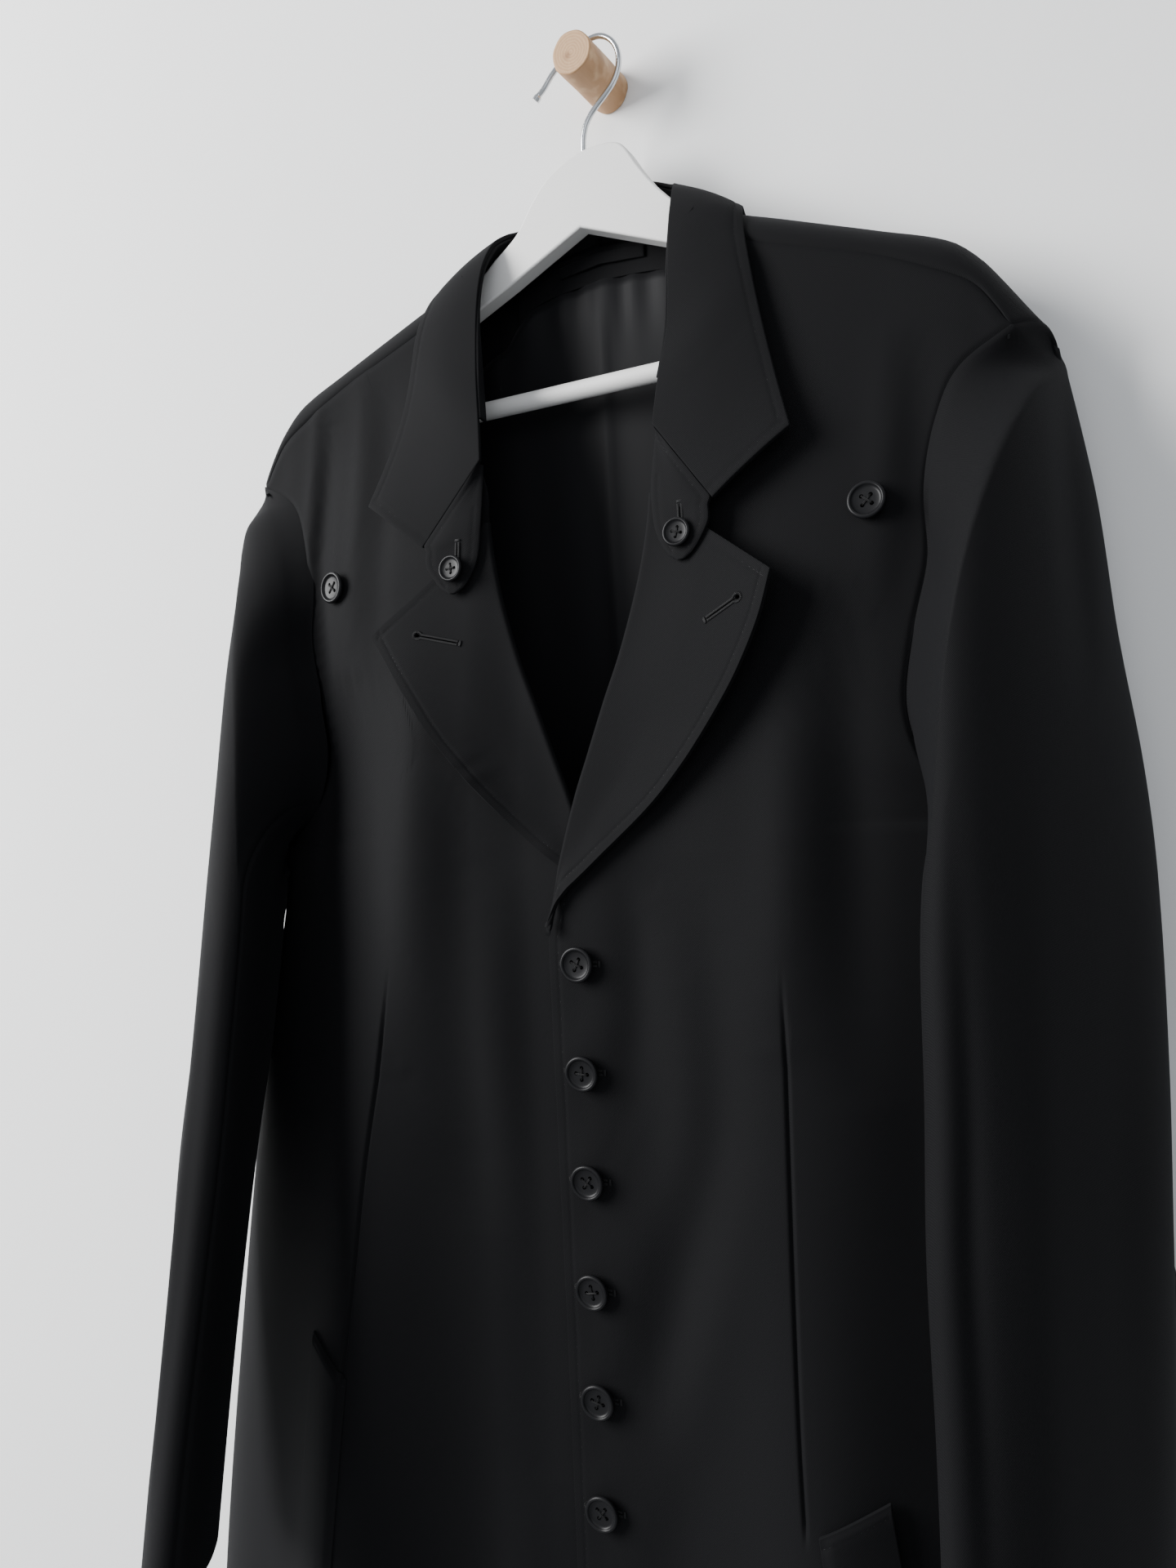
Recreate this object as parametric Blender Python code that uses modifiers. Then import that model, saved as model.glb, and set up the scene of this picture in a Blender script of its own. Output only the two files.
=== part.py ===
"""Long single-breasted wool coat on a flat wooden hanger, hung by its wire hook from a round wall peg.

Metres, +Z up. The wall is the plane y = 0, behind the peg, and the origin is the centre of the peg's
wall face. Every piece is drawn from the hook's foot, where the wire enters the top of the hanger:
x to the viewer's right, y towards the wall, z up. HOOK_FOOT then places it under the peg.
"""

from math import acos, cos, pi, radians, sin

import bmesh
import bpy
import numpy as np
from mathutils import Vector
from mathutils.bvhtree import BVHTree

# Peg and wall
PEG_LENGTH = 0.048
PEG_FRONT_RADIUS = 0.0119
PEG_WALL_RADIUS = 0.0121
PEG_EDGE = 0.0012
PEG_SIDES = 28

# Hook wire, from the hook's foot
WIRE_RADIUS = 0.00165
HOOK_TIP_RADIUS = 0.0023
HOOK_FOOT = Vector((-0.0040, -0.031, -0.0464))

# Wooden hanger
HANGER_THICKNESS = 0.0115
HANGER_EDGE = 0.0012
BAR_RADIUS = 0.0053
BAR_Z = -0.1347
BAR_HALF_LENGTH = 0.1857

# Cloth
CLOTH = 0.0020
SLEEVE_CLOTH = 0.0012
FOLDED_CLOTH = 0.0024
LINING = 0.0010
SEAM_GAP = 0.0003
SIDE_SEAM_GAP = 0.0009
SHOULDER_SEAM_GAP = 0.0007
LAP_STEP = 0.0036
LAP_START = -0.062
LAP_END = -0.030
FRONT_OVERLAP = 0.017
SIDE_ROUNDNESS = 0.7
BACK_SQUARER = 2.0

# Shoulder
SHOULDER_RADIUS = 0.021
SHOULDER_AXIS_Y = -0.001
SHOULDER_DROP = 0.150
NECK_POINT_X = 0.070
UNDERARM_Z = -0.388
HEM_Z = -1.130

# Buttons
FRONT_BUTTON = 0.0190
SMALL_BUTTON = 0.0150
FRONT_BUTTON_TOP_Z = -0.4537
FRONT_BUTTON_SPACING = 0.0563
FRONT_BUTTONS = 6
FRONT_BUTTON_X = 0.001
CHEST_BUTTON = (0.1611, -0.2341)
TAB_BUTTON = (0.0680, -0.2371)
BUTTON_SIDES = 14
BUTTON_SMOOTH_ANGLE = 35
BUTTON_PROFILE = (
    (0.0, 0.14),
    (0.62, 0.14),
    (0.74, 0.24),
    (0.92, 0.24),
    (1.0, 0.12),
    (0.80, 0.0),
    (0.0, 0.0),
)
BUTTON_SHANK = 0.0006
TAB_BUTTON_SHANK = 0.0012

# The coat's form, level by level: the side seam, how far the front and back stand from the hanger's
# plane, and how square the section is.
BODY_COLUMNS = ("z", "half_width", "side_y", "front_y", "back_y", "fullness")
BODY_ROWS = (
    (-0.045, 0.262, -0.004, -0.034, 0.0200, 5.0),
    (-0.160, 0.262, -0.004, -0.040, 0.0205, 4.8),
    (-0.230, 0.256, -0.005, -0.044, 0.0210, 4.6),
    (-0.315, 0.242, -0.006, -0.052, 0.0215, 5.0),
    (-0.388, 0.2315, -0.006, -0.056, 0.0220, 6.0),
    (-0.460, 0.243, -0.007, -0.058, 0.0220, 6.5),
    (-0.560, 0.266, -0.008, -0.059, 0.0230, 6.5),
    (-0.700, 0.292, -0.008, -0.061, 0.0245, 6.0),
    (-0.860, 0.318, -0.008, -0.066, 0.0255, 5.0),
    (-1.130, 0.350, -0.008, -0.076, 0.0265, 4.0),
)

# The largest folds. Each runs from its top to its foot, and swells and fades along the way; depth is
# how far it stands out at its middle, and below zero it is a trough.
FOLD_COLUMNS = ("face", "top_x", "top_z", "foot_x", "foot_z", "width", "depth")
FOLD_ROWS = (
    ("front", 0.112, -0.330, 0.150, -1.420, 0.046, 0.024),
    ("front", -0.100, -0.250, -0.070, -0.560, 0.026, 0.007),
    ("front", -0.105, -0.340, -0.243, -1.420, 0.046, 0.024),
    ("front", 0.050, -0.350, 0.034, -0.840, 0.024, -0.005),
    ("front", 0.172, -0.250, 0.182, -0.620, 0.022, -0.004),
    ("front", -0.070, -0.560, -0.080, -1.420, 0.030, -0.006),
    ("back", 0.120, -0.280, 0.175, -1.420, 0.040, -0.009),
    ("back", -0.115, -0.260, -0.165, -1.420, 0.042, -0.009),
    ("back", 0.050, -0.420, 0.060, -1.300, 0.034, -0.005),
    ("back", -0.045, -0.480, -0.060, -1.350, 0.032, -0.005),
)

# Top line of the shoulders, and round the neck what it would be if it went on
RIDGE_COLUMNS = ("x", "z")
RIDGE_ROWS = (
    (0.000, -0.0245),
    (0.045, -0.0300),
    (0.060, -0.0415),
    (0.066, -0.0490),
    (0.070, -0.0530),
    (0.094, -0.0642),
    (0.110, -0.0702),
    (0.132, -0.0787),
    (0.166, -0.0920),
    (0.199, -0.1055),
    (0.212, -0.1165),
    (0.228, -0.1362),
    (0.2424, -0.1575),
)

# Shoulder seam, a little in front of the top line
SEAM_COLUMNS = ("x", "z")
SEAM_ROWS = (
    (0.0700, -0.0700),
    (0.1060, -0.0865),
    (0.1400, -0.0985),
    (0.1660, -0.1080),
    (0.1940, -0.1225),
    (0.2110, -0.1330),
    (0.2200, -0.1450),
    (0.2280, -0.1590),
)

# Armhole, turning from the crown to the front, the underarm and the back
ARMHOLE_COLUMNS = ("turn", "x", "y", "z")
ARMHOLE_ROWS = (
    (0, 0.2280, -0.0230, -0.1590),
    (25, 0.2080, -0.0262, -0.1760),
    (45, 0.1965, -0.0300, -0.1980),
    (65, 0.1900, -0.0350, -0.2300),
    (85, 0.1870, -0.0385, -0.2640),
    (105, 0.1790, -0.0425, -0.2980),
    (125, 0.1745, -0.0440, -0.3350),
    (145, 0.1860, -0.0420, -0.3660),
    (165, 0.2130, -0.0285, -0.3840),
    (180, 0.2315, -0.0060, UNDERARM_Z),
    (195, 0.2295, 0.0006, -0.3820),
    (215, 0.2240, 0.0097, -0.3540),
    (240, 0.2200, 0.0137, -0.3080),
    (265, 0.2210, 0.0153, -0.2650),
    (290, 0.2260, 0.0163, -0.2260),
    (315, 0.2340, 0.0180, -0.1900),
    (335, 0.2432, 0.0070, -0.1655),
    (350, 0.2395, -0.0085, -0.1560),
    (360, 0.2280, -0.0230, -0.1590),
)

# Sleeve sections, level by level: slanted ovals, from the front-inner fold to the elbow side
SLEEVE_COLUMNS = ("z", "centre_x", "centre_y", "half_length", "half_depth", "slant")
SLEEVE_ROWS = (
    (-0.150, 0.212, -0.003, 0.042, 0.028, 70),
    (-0.200, 0.219, -0.008, 0.050, 0.027, 68),
    (-0.240, 0.223, -0.013, 0.056, 0.026, 66),
    (-0.300, 0.226, -0.024, 0.062, 0.025, 64),
    (-0.360, 0.230, -0.036, 0.066, 0.024, 60),
    (-0.430, 0.230, -0.054, 0.067, 0.024, 55),
    (-0.500, 0.231, -0.070, 0.065, 0.023, 53),
    (-0.560, 0.231, -0.086, 0.062, 0.022, 51),
    (-0.630, 0.232, -0.100, 0.060, 0.020, 52),
    (-0.700, 0.232, -0.115, 0.058, 0.019, 53),
    (-0.800, 0.230, -0.137, 0.056, 0.018, 54),
)
SLEEVE_HEM_Z = -0.772
SLEEVE_HEM_TILT = 0.18
SLEEVE_FOLD_TURN = 130
SLEEVE_SQUARENESS = 0.9
SLEEVE_CLEARANCE = 0.0095
SLEEVE_CLEARANCE_DROP = 0.010
SLEEVE_HEAD_DROP = 0.045
SLEEVE_CROWN_DROP = 0.020
SLEEVE_FAN = 38
SLEEVE_FAN_END = 135
SLEEVE_FAN_FADE = 0.16
SLEEVE_START = 0.0016
SLEEVE_HIDDEN_START = 0.0036
SLEEVE_HIDDEN_TURN = 225
SLEEVE_HIDDEN_REACH = 115
SLEEVE_HIDDEN_FADE = 45
SLEEVE_WALL_LIMIT = 0.0262
BODY_CORE = (0.140, -0.010)
ARMHOLE_BLEND = 0.014
SLEEVE_SEAM_GAP = 2.3
SLEEVE_SEAM_REACH = 150
SLEEVE_REACH = 0.03
SLEEVE_FRONT_SEAM = 142
SLEEVE_BACK_SEAM = -94

# Roll line of collar and lapel, from the centre back round the neck and down to the first button:
# x, y and z on the viewer's right
ROLL_ROWS = (
    (0.0000, 0.0190, -0.0140),
    (0.0300, 0.0170, -0.0190),
    (0.0480, 0.0100, -0.0285),
    (0.0540, 0.0000, -0.0340),
    (0.0570, -0.0110, -0.0430),
    (0.0590, -0.0210, -0.0600),
    (0.0595, -0.0280, -0.0850),
    (0.0590, -0.0330, -0.1230),
    (0.0545, -0.0405, -0.1570),
    (0.0517, -0.0462, -0.1900),
    (0.0500, -0.0500, -0.2220),
    (0.0440, -0.0500, -0.2550),
    (0.0335, -0.0530, -0.2910),
    (0.0230, -0.0560, -0.3180),
    (0.0120, -0.0580, -0.3470),
    (0.0040, -0.0590, -0.3680),
    (-0.0060, -0.0600, -0.4000),
    (-0.0170, -0.0600, -0.4400),
)
ROLL_AT_STAND_SEAM = 8.6
ROLL_AT_LAPEL_TOP = 9.7

# Outer edge of the collar's fall, from the centre back to its point: x, y and z
FALL_EDGE_ROWS = (
    (0.0000, 0.0275, -0.0640),
    (0.0350, 0.0278, -0.0690),
    (0.0680, 0.0278, -0.0780),
    (0.0900, 0.0245, -0.0755),
    (0.0940, 0.0000, -0.0596),
    (0.0980, -0.0150, -0.0670),
    (0.1020, -0.0250, -0.0870),
    (0.1080, -0.0300, -0.1220),
    (0.1160, -0.0370, -0.1530),
    (0.1275, -0.0485, -0.1920),
)
COLLAR_SWELL = 0.0022
COLLAR_NOTCH = (0.0873, -0.0540, -0.2224)

# Neck seam under the stand, from the centre back to the front: x, y and z
NECK_ROWS = (
    (0.0000, 0.0176, -0.0470),
    (0.0380, 0.0158, -0.0505),
    (0.0580, 0.0100, -0.0505),
    (0.0650, 0.0000, -0.0480),
    (0.0660, -0.0110, -0.0560),
    (0.0650, -0.0190, -0.0740),
    (0.0635, -0.0220, -0.0950),
    (0.0600, -0.0260, -0.1270),
    (0.0565, -0.0310, -0.1600),
)

# Outer edge of the lapel, from its peak to the first button: x, z and its lift off the front
LAPEL_EDGE_ROWS = (
    (0.1185, -0.2630, 0.0165),
    (0.1115, -0.2860, 0.0160),
    (0.1000, -0.3095, 0.0150),
    (0.0870, -0.3290, 0.0140),
    (0.0700, -0.3510, 0.0125),
    (0.0500, -0.3715, 0.0105),
    (0.0285, -0.3890, 0.0080),
    (0.0095, -0.4045, 0.0060),
    (-0.0055, -0.4170, 0.0045),
    (-0.0135, -0.4290, 0.0035),
    (-0.0165, -0.4385, 0.0030),
)
LAPEL_ROLL_LIFT = 0.0030
LAPEL_RISE_POWER = 1.6
FRONT_NECK_STEP = 0.0045
FRONT_NECK_FADE = 0.040
LEFT_LAPEL_END = 0.70

# Tab at the front end of the stand, level by level: its inner and outer edge
TAB_COLUMNS = ("z", "inner_x", "outer_x")
TAB_ROWS = (
    (-0.1790, 0.0530, 0.0575),
    (-0.1920, 0.0525, 0.0650),
    (-0.2060, 0.0520, 0.0738),
    (-0.2200, 0.0525, 0.0828),
    (-0.2320, 0.0540, 0.0850),
    (-0.2410, 0.0575, 0.0805),
    (-0.2475, 0.0620, 0.0755),
    (-0.2505, 0.0660, 0.0715),
)
TAB_START_X = 0.047
LAPEL_REACH = 0.0715
TAB_GAP = 0.0006
TAB_RISE_DROP = 0.040

# Slanted pocket welt: its upper inner corner, the slope of its ends, and how it leans outwards
POCKET_RIGHT_TOP = (0.1235, -0.7080)
POCKET_LEFT_TOP = (-0.1500, -0.6860)
POCKET_WIDTH = 0.0320
POCKET_END_RISE = 0.0180
POCKET_LENGTH = 0.170
POCKET_LEAN = 0.022
POCKET_RIGHT_STAND_OFF = 0.0018
POCKET_LEFT_STAND_OFF = 0.0010

# Back lining, neck facing and loop; rows count as in back_surface
LINING_START_ROW = 1.065
LINING_TOP_ROW = 1.1
LINING_FOOT_ROW = 2.96
LINING_INSET = 0.0028
LINING_HALF_SHARE = 0.70
PLEAT_DEPTH = 0.0022
PLEAT_HALF_WIDTH = 0.012
FACING_TOP_ROW = 1.018
FACING_GAP_ROW = 0.002
LOOP_ACROSS = (-0.09, 0.0, 0.09)
LOOP_TOP_ROW = 1.022
LOOP_FOOT_ROW = 1.042
LOOP_THICKNESS = 0.0012

# Finishes
BLACK_WOOL = ("black_wool", (0.010, 0.010, 0.011), 0.85, 0.0)
DARK_SATIN = ("dark_satin_lining", (0.020, 0.020, 0.022), 0.45, 0.0)
WHITE_PAINTED_WOOD = ("white_painted_wood", (0.72, 0.72, 0.70), 0.50, 0.0)
CHROMED_WIRE = ("chromed_wire", (0.80, 0.80, 0.81), 0.15, 1.0)
PEG_WOOD = ("peeled_branch_wood", (0.47, 0.30, 0.16), 0.65, 0.0)
BLACK_BUTTON = ("black_polyester_button", (0.013, 0.013, 0.015), 0.35, 0.0)


def clear_scene():
    for item in list(bpy.data.objects):
        bpy.data.objects.remove(item, do_unlink=True)


def new_collection(name):
    collection = bpy.data.collections.new(name)
    bpy.context.scene.collection.children.link(collection)
    return collection


def finish_of(finish):
    name, colour, roughness, metallic = finish
    material = bpy.data.materials.get(name)
    if material is None:
        material = bpy.data.materials.new(name)
        material.use_nodes = True
        shader = material.node_tree.nodes["Principled BSDF"]
        shader.inputs["Base Color"].default_value = (*colour, 1.0)
        shader.inputs["Roughness"].default_value = roughness
        shader.inputs["Metallic"].default_value = metallic
    return material


def place(name, mesh, finish, location=HOOK_FOOT):
    """One named sub-part in the coat's collection, with its finish."""
    mesh.name = name
    mesh.materials.append(finish_of(finish))
    piece = bpy.data.objects.new(name, mesh)
    piece.location = location
    COAT.objects.link(piece)
    return piece


def column(columns, rows, name):
    return [row[columns.index(name)] for row in rows]


def curve_through(at, knots, values):
    """A smooth curve through the values at rising knots, held at its end values past them."""
    last = len(knots) - 1
    i = int(np.clip(np.searchsorted(knots, at) - 1, 0, last - 1))
    step = knots[i + 1] - knots[i]

    def slope(k):
        before, after = max(k - 1, 0), min(k + 1, last)
        return (values[after] - values[before]) / (knots[after] - knots[before])

    share = float(np.clip((at - knots[i]) / step, 0.0, 1.0))
    h00 = (1 + 2 * share) * (1 - share) ** 2
    h10 = share * (1 - share) ** 2
    h01 = share**2 * (3 - 2 * share)
    h11 = share**2 * (share - 1)
    start, end = values[i], values[i + 1]
    return h00 * start + h10 * step * slope(i) + h01 * end + h11 * step * slope(i + 1)


def smoothstep(value):
    value = min(max(value, 0.0), 1.0)
    return value * value * (3 - 2 * value)


def lerp(start, end, share):
    return start + (end - start) * share


def path_point(rows, at):
    """The point of a path at a row number, which may lie between two rows."""
    knots = list(range(len(rows)))
    return Vector([curve_through(at, knots, [row[axis] for row in rows]) for axis in range(3)])


def body(name, z):
    knots = [-value for value in column(BODY_COLUMNS, BODY_ROWS, "z")]
    return curve_through(-z, knots, column(BODY_COLUMNS, BODY_ROWS, name))


def ridge_z(x):
    return curve_through(x, column(RIDGE_COLUMNS, RIDGE_ROWS, "x"), column(RIDGE_COLUMNS, RIDGE_ROWS, "z"))


def seam_z(x):
    return curve_through(x, column(SEAM_COLUMNS, SEAM_ROWS, "x"), column(SEAM_COLUMNS, SEAM_ROWS, "z"))


def shoulder_seam(x):
    """Where the shoulder seam lies round the shoulder, as y and z."""
    drop = min((ridge_z(x) - seam_z(x)) / SHOULDER_RADIUS, 1.0)
    turn = acos(1.0 - drop)
    return SHOULDER_AXIS_Y - SHOULDER_RADIUS * sin(turn), ridge_z(x) - SHOULDER_RADIUS * drop, turn


def armhole(turn):
    """The armhole's seam at an angle from the crown, on the viewer's right."""
    turn = turn % 360
    turns = column(ARMHOLE_COLUMNS, ARMHOLE_ROWS, "turn")
    return Vector([curve_through(turn, turns, column(ARMHOLE_COLUMNS, ARMHOLE_ROWS, axis)) for axis in "xyz"])


def fold_height(face, x, z):
    """How far the folds of one face lift the cloth at a place."""
    height = 0.0
    for row in FOLD_ROWS:
        fold = dict(zip(FOLD_COLUMNS, row))
        if fold["face"] != face:
            continue
        along = (z - fold["top_z"]) / (fold["foot_z"] - fold["top_z"])
        if not 0.0 < along < 1.0:
            continue
        centre = lerp(fold["top_x"], fold["foot_x"], along)
        across = (x - centre) / fold["width"]
        height += fold["depth"] * sin(pi * along) * np.exp(-(across**2))
    return float(height)


def section_share(x, z, squarer=1.0):
    """1 in the middle of a section, falling to 0 at the side seam."""
    share = min(abs(x) / body("half_width", z), 1.0)
    return (1 - share ** (body("fullness", z) * squarer)) ** SIDE_ROUNDNESS


def front_y(x, z):
    """Outer face of the fronts, before one laps over the other."""
    share = section_share(x, z)
    side = body("side_y", z)
    y = side + (body("front_y", z) - side - fold_height("front", x, z)) * share
    seam_y, seam_height, _ = shoulder_seam(max(abs(x), NECK_POINT_X))
    return lerp(seam_y, y, smoothstep((seam_height - z) / SHOULDER_DROP))


def back_y(x, z):
    share = section_share(x, z, BACK_SQUARER)
    side = body("side_y", z)
    return side + (body("back_y", z) - side + fold_height("back", x, z)) * share


def outer_front_y(x, z, side):
    """Outer face of the front on one side: the viewer's left one runs under the right one."""
    y = front_y(x, z)
    if side < 0:
        y += LAP_STEP * smoothstep((x - LAP_START) / (LAP_END - LAP_START))
    return y


def face_out(surface, u, v, limits, flip, reach=1e-3):
    """The outward direction of a surface at a place, from its neighbours within the limits and reach."""
    (u_low, v_low), (u_high, v_high) = limits
    u_step, v_step = (u_high - u_low) * reach, (v_high - v_low) * reach
    u0, u1 = max(u - u_step, u_low), min(u + u_step, u_high)
    v0, v1 = max(v - v_step, v_low), min(v + v_step, v_high)
    turned = (surface(u1, v) - surface(u0, v)).cross(surface(u, v1) - surface(u, v0)).normalized()
    return -turned if flip else turned


def cloth_wall(name, surface, across, along, thickness, finish=BLACK_WOOL, flip=False, shared=None, reach=1e-3):
    """A wall of cloth: the outer face is surface(u, v) over the shares in across and along, and the
    inner face lies one thickness behind it, split along the same diagonals so that the two never cross.
    At a seam, shared gives the direction both its pieces use. A longer reach evens out the directions
    across a sharp fold.
    """
    limits = (across[0], along[0]), (across[-1], along[-1])

    def normal(u, v):
        given = shared(u, v) if shared else None
        return given or face_out(surface, u, v, limits, flip, reach)

    mesh = bmesh.new()
    outer = [[mesh.verts.new(surface(u, v)) for u in across] for v in along]
    inner = [[mesh.verts.new(surface(u, v) - thickness * normal(u, v)) for u in across] for v in along]
    rows, columns = len(along), len(across)
    for r in range(rows - 1):
        for c in range(columns - 1):
            corners = [(r, c), (r, c + 1), (r + 1, c + 1), (r + 1, c)]
            lengths = [(outer[r][c].co - outer[r + 1][c + 1].co).length, (outer[r][c + 1].co - outer[r + 1][c].co).length]
            if lengths[1] < lengths[0]:
                corners = corners[1:] + corners[:1]
            for layer, turn in ((outer, flip), (inner, not flip)):
                for picked in ((0, 1, 2), (0, 2, 3)):
                    ends = [layer[row][column] for row, column in (corners[i] for i in picked)]
                    mesh.faces.new(ends[::-1] if turn else ends)
    rim = [(0, c) for c in range(columns)]
    rim += [(r, columns - 1) for r in range(1, rows)]
    rim += [(rows - 1, c) for c in range(columns - 2, -1, -1)]
    rim += [(r, 0) for r in range(rows - 2, 0, -1)]
    for (r0, c0), (r1, c1) in zip(rim, rim[1:] + rim[:1]):
        corners = [outer[r0][c0], inner[r0][c0], inner[r1][c1], outer[r1][c1]]
        mesh.faces.new(corners[::-1] if flip else corners)
    data = bpy.data.meshes.new(name)
    mesh.to_mesh(data)
    mesh.free()
    data.shade_smooth()
    return place(name, data, finish)


def shares(count, start=0.0, end=1.0):
    return [lerp(start, end, i / count) for i in range(count + 1)]


def mirrored(point, side):
    return Vector((point.x * side, point.y, point.z))


SIDE_SHARES = (0.0, 0.07, 0.17, 0.29, 0.42, 0.55, 0.67, 0.78, 0.87, 0.94, 0.985, 1.0)
LOWER_ROWS = 10
FRONT_RIM_TURNS = (0, 20, 40, 62, 85, 104, 118, 130, 142, 151, 161, 171, 180)
BACK_RIM_TURNS = (0, -13, -26, -39, -52, -72, -92, -115, -132, -145, -157, -169, -180)
BACK_NECK = ((0.0, 90), (0.024, 90), (0.045, 90), (0.058, 66), (0.066, 30), (0.0700, 0), (0.0715, -45))
BACK_SHOULDER = (0.0735, 0.098, 0.130, 0.162, 0.192, 0.213)
BACK_COLUMNS = len(BACK_NECK) + len(BACK_SHOULDER)
BACK_RIM_TURN = -52.0


def front_edge(z):
    """Inner edge of the viewer's right front: its neck seam, its roll line and then its buttoned edge."""
    if z < ROLL_ROWS[-1][2]:
        return -FRONT_OVERLAP
    neck = NECK_ROWS[4:]
    neck_x = curve_through(-z, [-row[2] for row in neck], [row[0] + FRONT_NECK_STEP for row in neck])
    roll = ROLL_ROWS[5:]
    roll_x = curve_through(-z, [-row[2] for row in roll], [row[0] for row in roll])
    return lerp(neck_x, roll_x, smoothstep((NECK_ROWS[-1][2] - z) / FRONT_NECK_FADE))


def shoulder_direction(x):
    """The shoulder's outward direction at its seam."""
    turn = shoulder_seam(x)[2]
    return Vector((0, -sin(turn), cos(turn)))


def front_panel(name, side):
    top_z = shoulder_seam(NECK_POINT_X)[1]

    def surface(u, v):
        if v < 1.0:
            inner_z = lerp(top_z, UNDERARM_Z, v)
            outer = armhole(180.0 * v)
            x = lerp(front_edge(inner_z), outer.x, u)
            z = lerp(inner_z, outer.z, u)
            fade = max(0.0, 1 - v / 0.35) ** 2
            x_top = lerp(NECK_POINT_X, armhole(0).x, u)
            arched = shoulder_seam(x_top)[1] - lerp(top_z, shoulder_seam(armhole(0).x)[1], u)
            z += arched * fade
            y = outer_front_y(x * side, z, side)
            y += (outer.y - outer_front_y(outer.x * side, outer.z, side)) * u**4
        else:
            z = lerp(UNDERARM_Z, HEM_Z, v - 1.0)
            x = lerp(front_edge(z), body("half_width", z), u)
            y = outer_front_y(x * side, z, side)
        gap_z = SHOULDER_SEAM_GAP if v < 0.001 else 0.0
        return Vector((x * side, y - SIDE_SEAM_GAP / 2 * u**8, z - gap_z))

    def shared(u, v):
        if v == 0.0:
            return shoulder_direction(lerp(NECK_POINT_X, armhole(0).x, u))
        return Vector((side, 0, 0)) if u == 1.0 and v >= 1.0 else None

    along = [turn / 180 for turn in FRONT_RIM_TURNS] + shares(LOWER_ROWS, 1.0, 2.0)[1:]
    return cloth_wall(name, surface, SIDE_SHARES, along, CLOTH, flip=side > 0, shared=shared)


def back_top(at):
    """Where a back column starts: its x, and its turn round the shoulder in degrees."""
    tops = [x for x, _ in BACK_NECK] + list(BACK_SHOULDER) + [armhole(0).x]
    x = curve_through(at, list(range(BACK_COLUMNS + 1)), tops)
    neck_turns = [turn for _, turn in BACK_NECK]
    if at > len(BACK_NECK) - 1:
        seam = -np.degrees(shoulder_seam(x)[2])
        return x, lerp(neck_turns[-1], seam, min(1.0, at - len(BACK_NECK) + 1))
    return x, float(np.interp(at, list(range(len(BACK_NECK))), neck_turns))


def back_surface(u, v, side):
    """The back's outer face: v runs 0 to 1 round the shoulder, 1 to 2 down to the underarm, 2 to 3 to the hem."""
    at = u * BACK_COLUMNS
    x_top, start = back_top(at)
    edge = max(0.0, at - BACK_COLUMNS + 1) ** 2
    rim_top = armhole(BACK_RIM_TURN)
    if v < 1.0:
        turn = radians(lerp(start, 90, v))
        y = SHOULDER_AXIS_Y + SHOULDER_RADIUS * sin(turn)
        z = ridge_z(x_top) - SHOULDER_RADIUS * (1 - cos(turn))
        rim = armhole(BACK_RIM_TURN * v)
        x, y, z = [lerp(own, at_rim, edge) for own, at_rim in zip((x_top, y, z), rim)]
    elif v < 2.0:
        down = v - 1.0
        rim = armhole(BACK_RIM_TURN - (180 + BACK_RIM_TURN) * down)
        z = lerp(lerp(ridge_z(x_top) - SHOULDER_RADIUS, UNDERARM_Z, down), rim.z, edge)
        share = lerp(x_top, rim_top.x, edge) / rim_top.x
        x = lerp(share, back_share(u), smoothstep(down)) * rim.x
        y = back_y(x * side, z)
        y = lerp(SHOULDER_AXIS_Y + SHOULDER_RADIUS, y, smoothstep(down * 4))
        y += (rim.y - y) * edge
    else:
        z = lerp(UNDERARM_Z, HEM_Z, v - 2.0)
        x = back_share(u) * body("half_width", z)
        y = back_y(x * side, z)
    return Vector((max(x, SEAM_GAP / 2) * side, y + SIDE_SEAM_GAP / 2 * u**8, z))


BACK_ACROSS = [i / BACK_COLUMNS for i in range(BACK_COLUMNS + 1)]


def back_along():
    round_shoulder = [turn / BACK_RIM_TURN for turn in BACK_RIM_TURNS if turn >= BACK_RIM_TURN]
    down = [1 + (BACK_RIM_TURN - turn) / (180 + BACK_RIM_TURN) for turn in BACK_RIM_TURNS if turn < BACK_RIM_TURN]
    return round_shoulder + down + shares(LOWER_ROWS, 2.0, 3.0)[1:]


def back_panel(name, side):
    def surface(u, v):
        return back_surface(u, v, side)

    def shared(u, v):
        if v == 0.0 and u * BACK_COLUMNS > len(BACK_NECK):
            return shoulder_direction(back_top(u * BACK_COLUMNS)[0])
        return Vector((side, 0, 0)) if u == 1.0 and v >= 2.0 else None

    return cloth_wall(name, surface, BACK_ACROSS, back_along(), CLOTH, flip=side < 0, shared=shared)


def back_inside(across, v, depth):
    """A point inside the back, at a depth from its outer face; across is below 0 on the left half."""
    side = -1 if across < 0 else 1
    step = 1e-3
    u = abs(across)
    low, high = max(u - step, 0.0), u + step
    along_x = back_surface(high, v, side) - back_surface(low, v, side)
    along_z = back_surface(u, v + step, side) - back_surface(u, v - step, side)
    normal = along_x.cross(along_z).normalized() * side
    point = back_surface(u, v, side) - depth * normal
    if u == 0.0:
        point.x = 0.0
    return point


def back_share(u):
    """Shares of a back section below the shoulder, closer together towards the side seam."""
    return min(1.0, 1.0 - (1.0 - u) ** 1.25)


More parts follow.
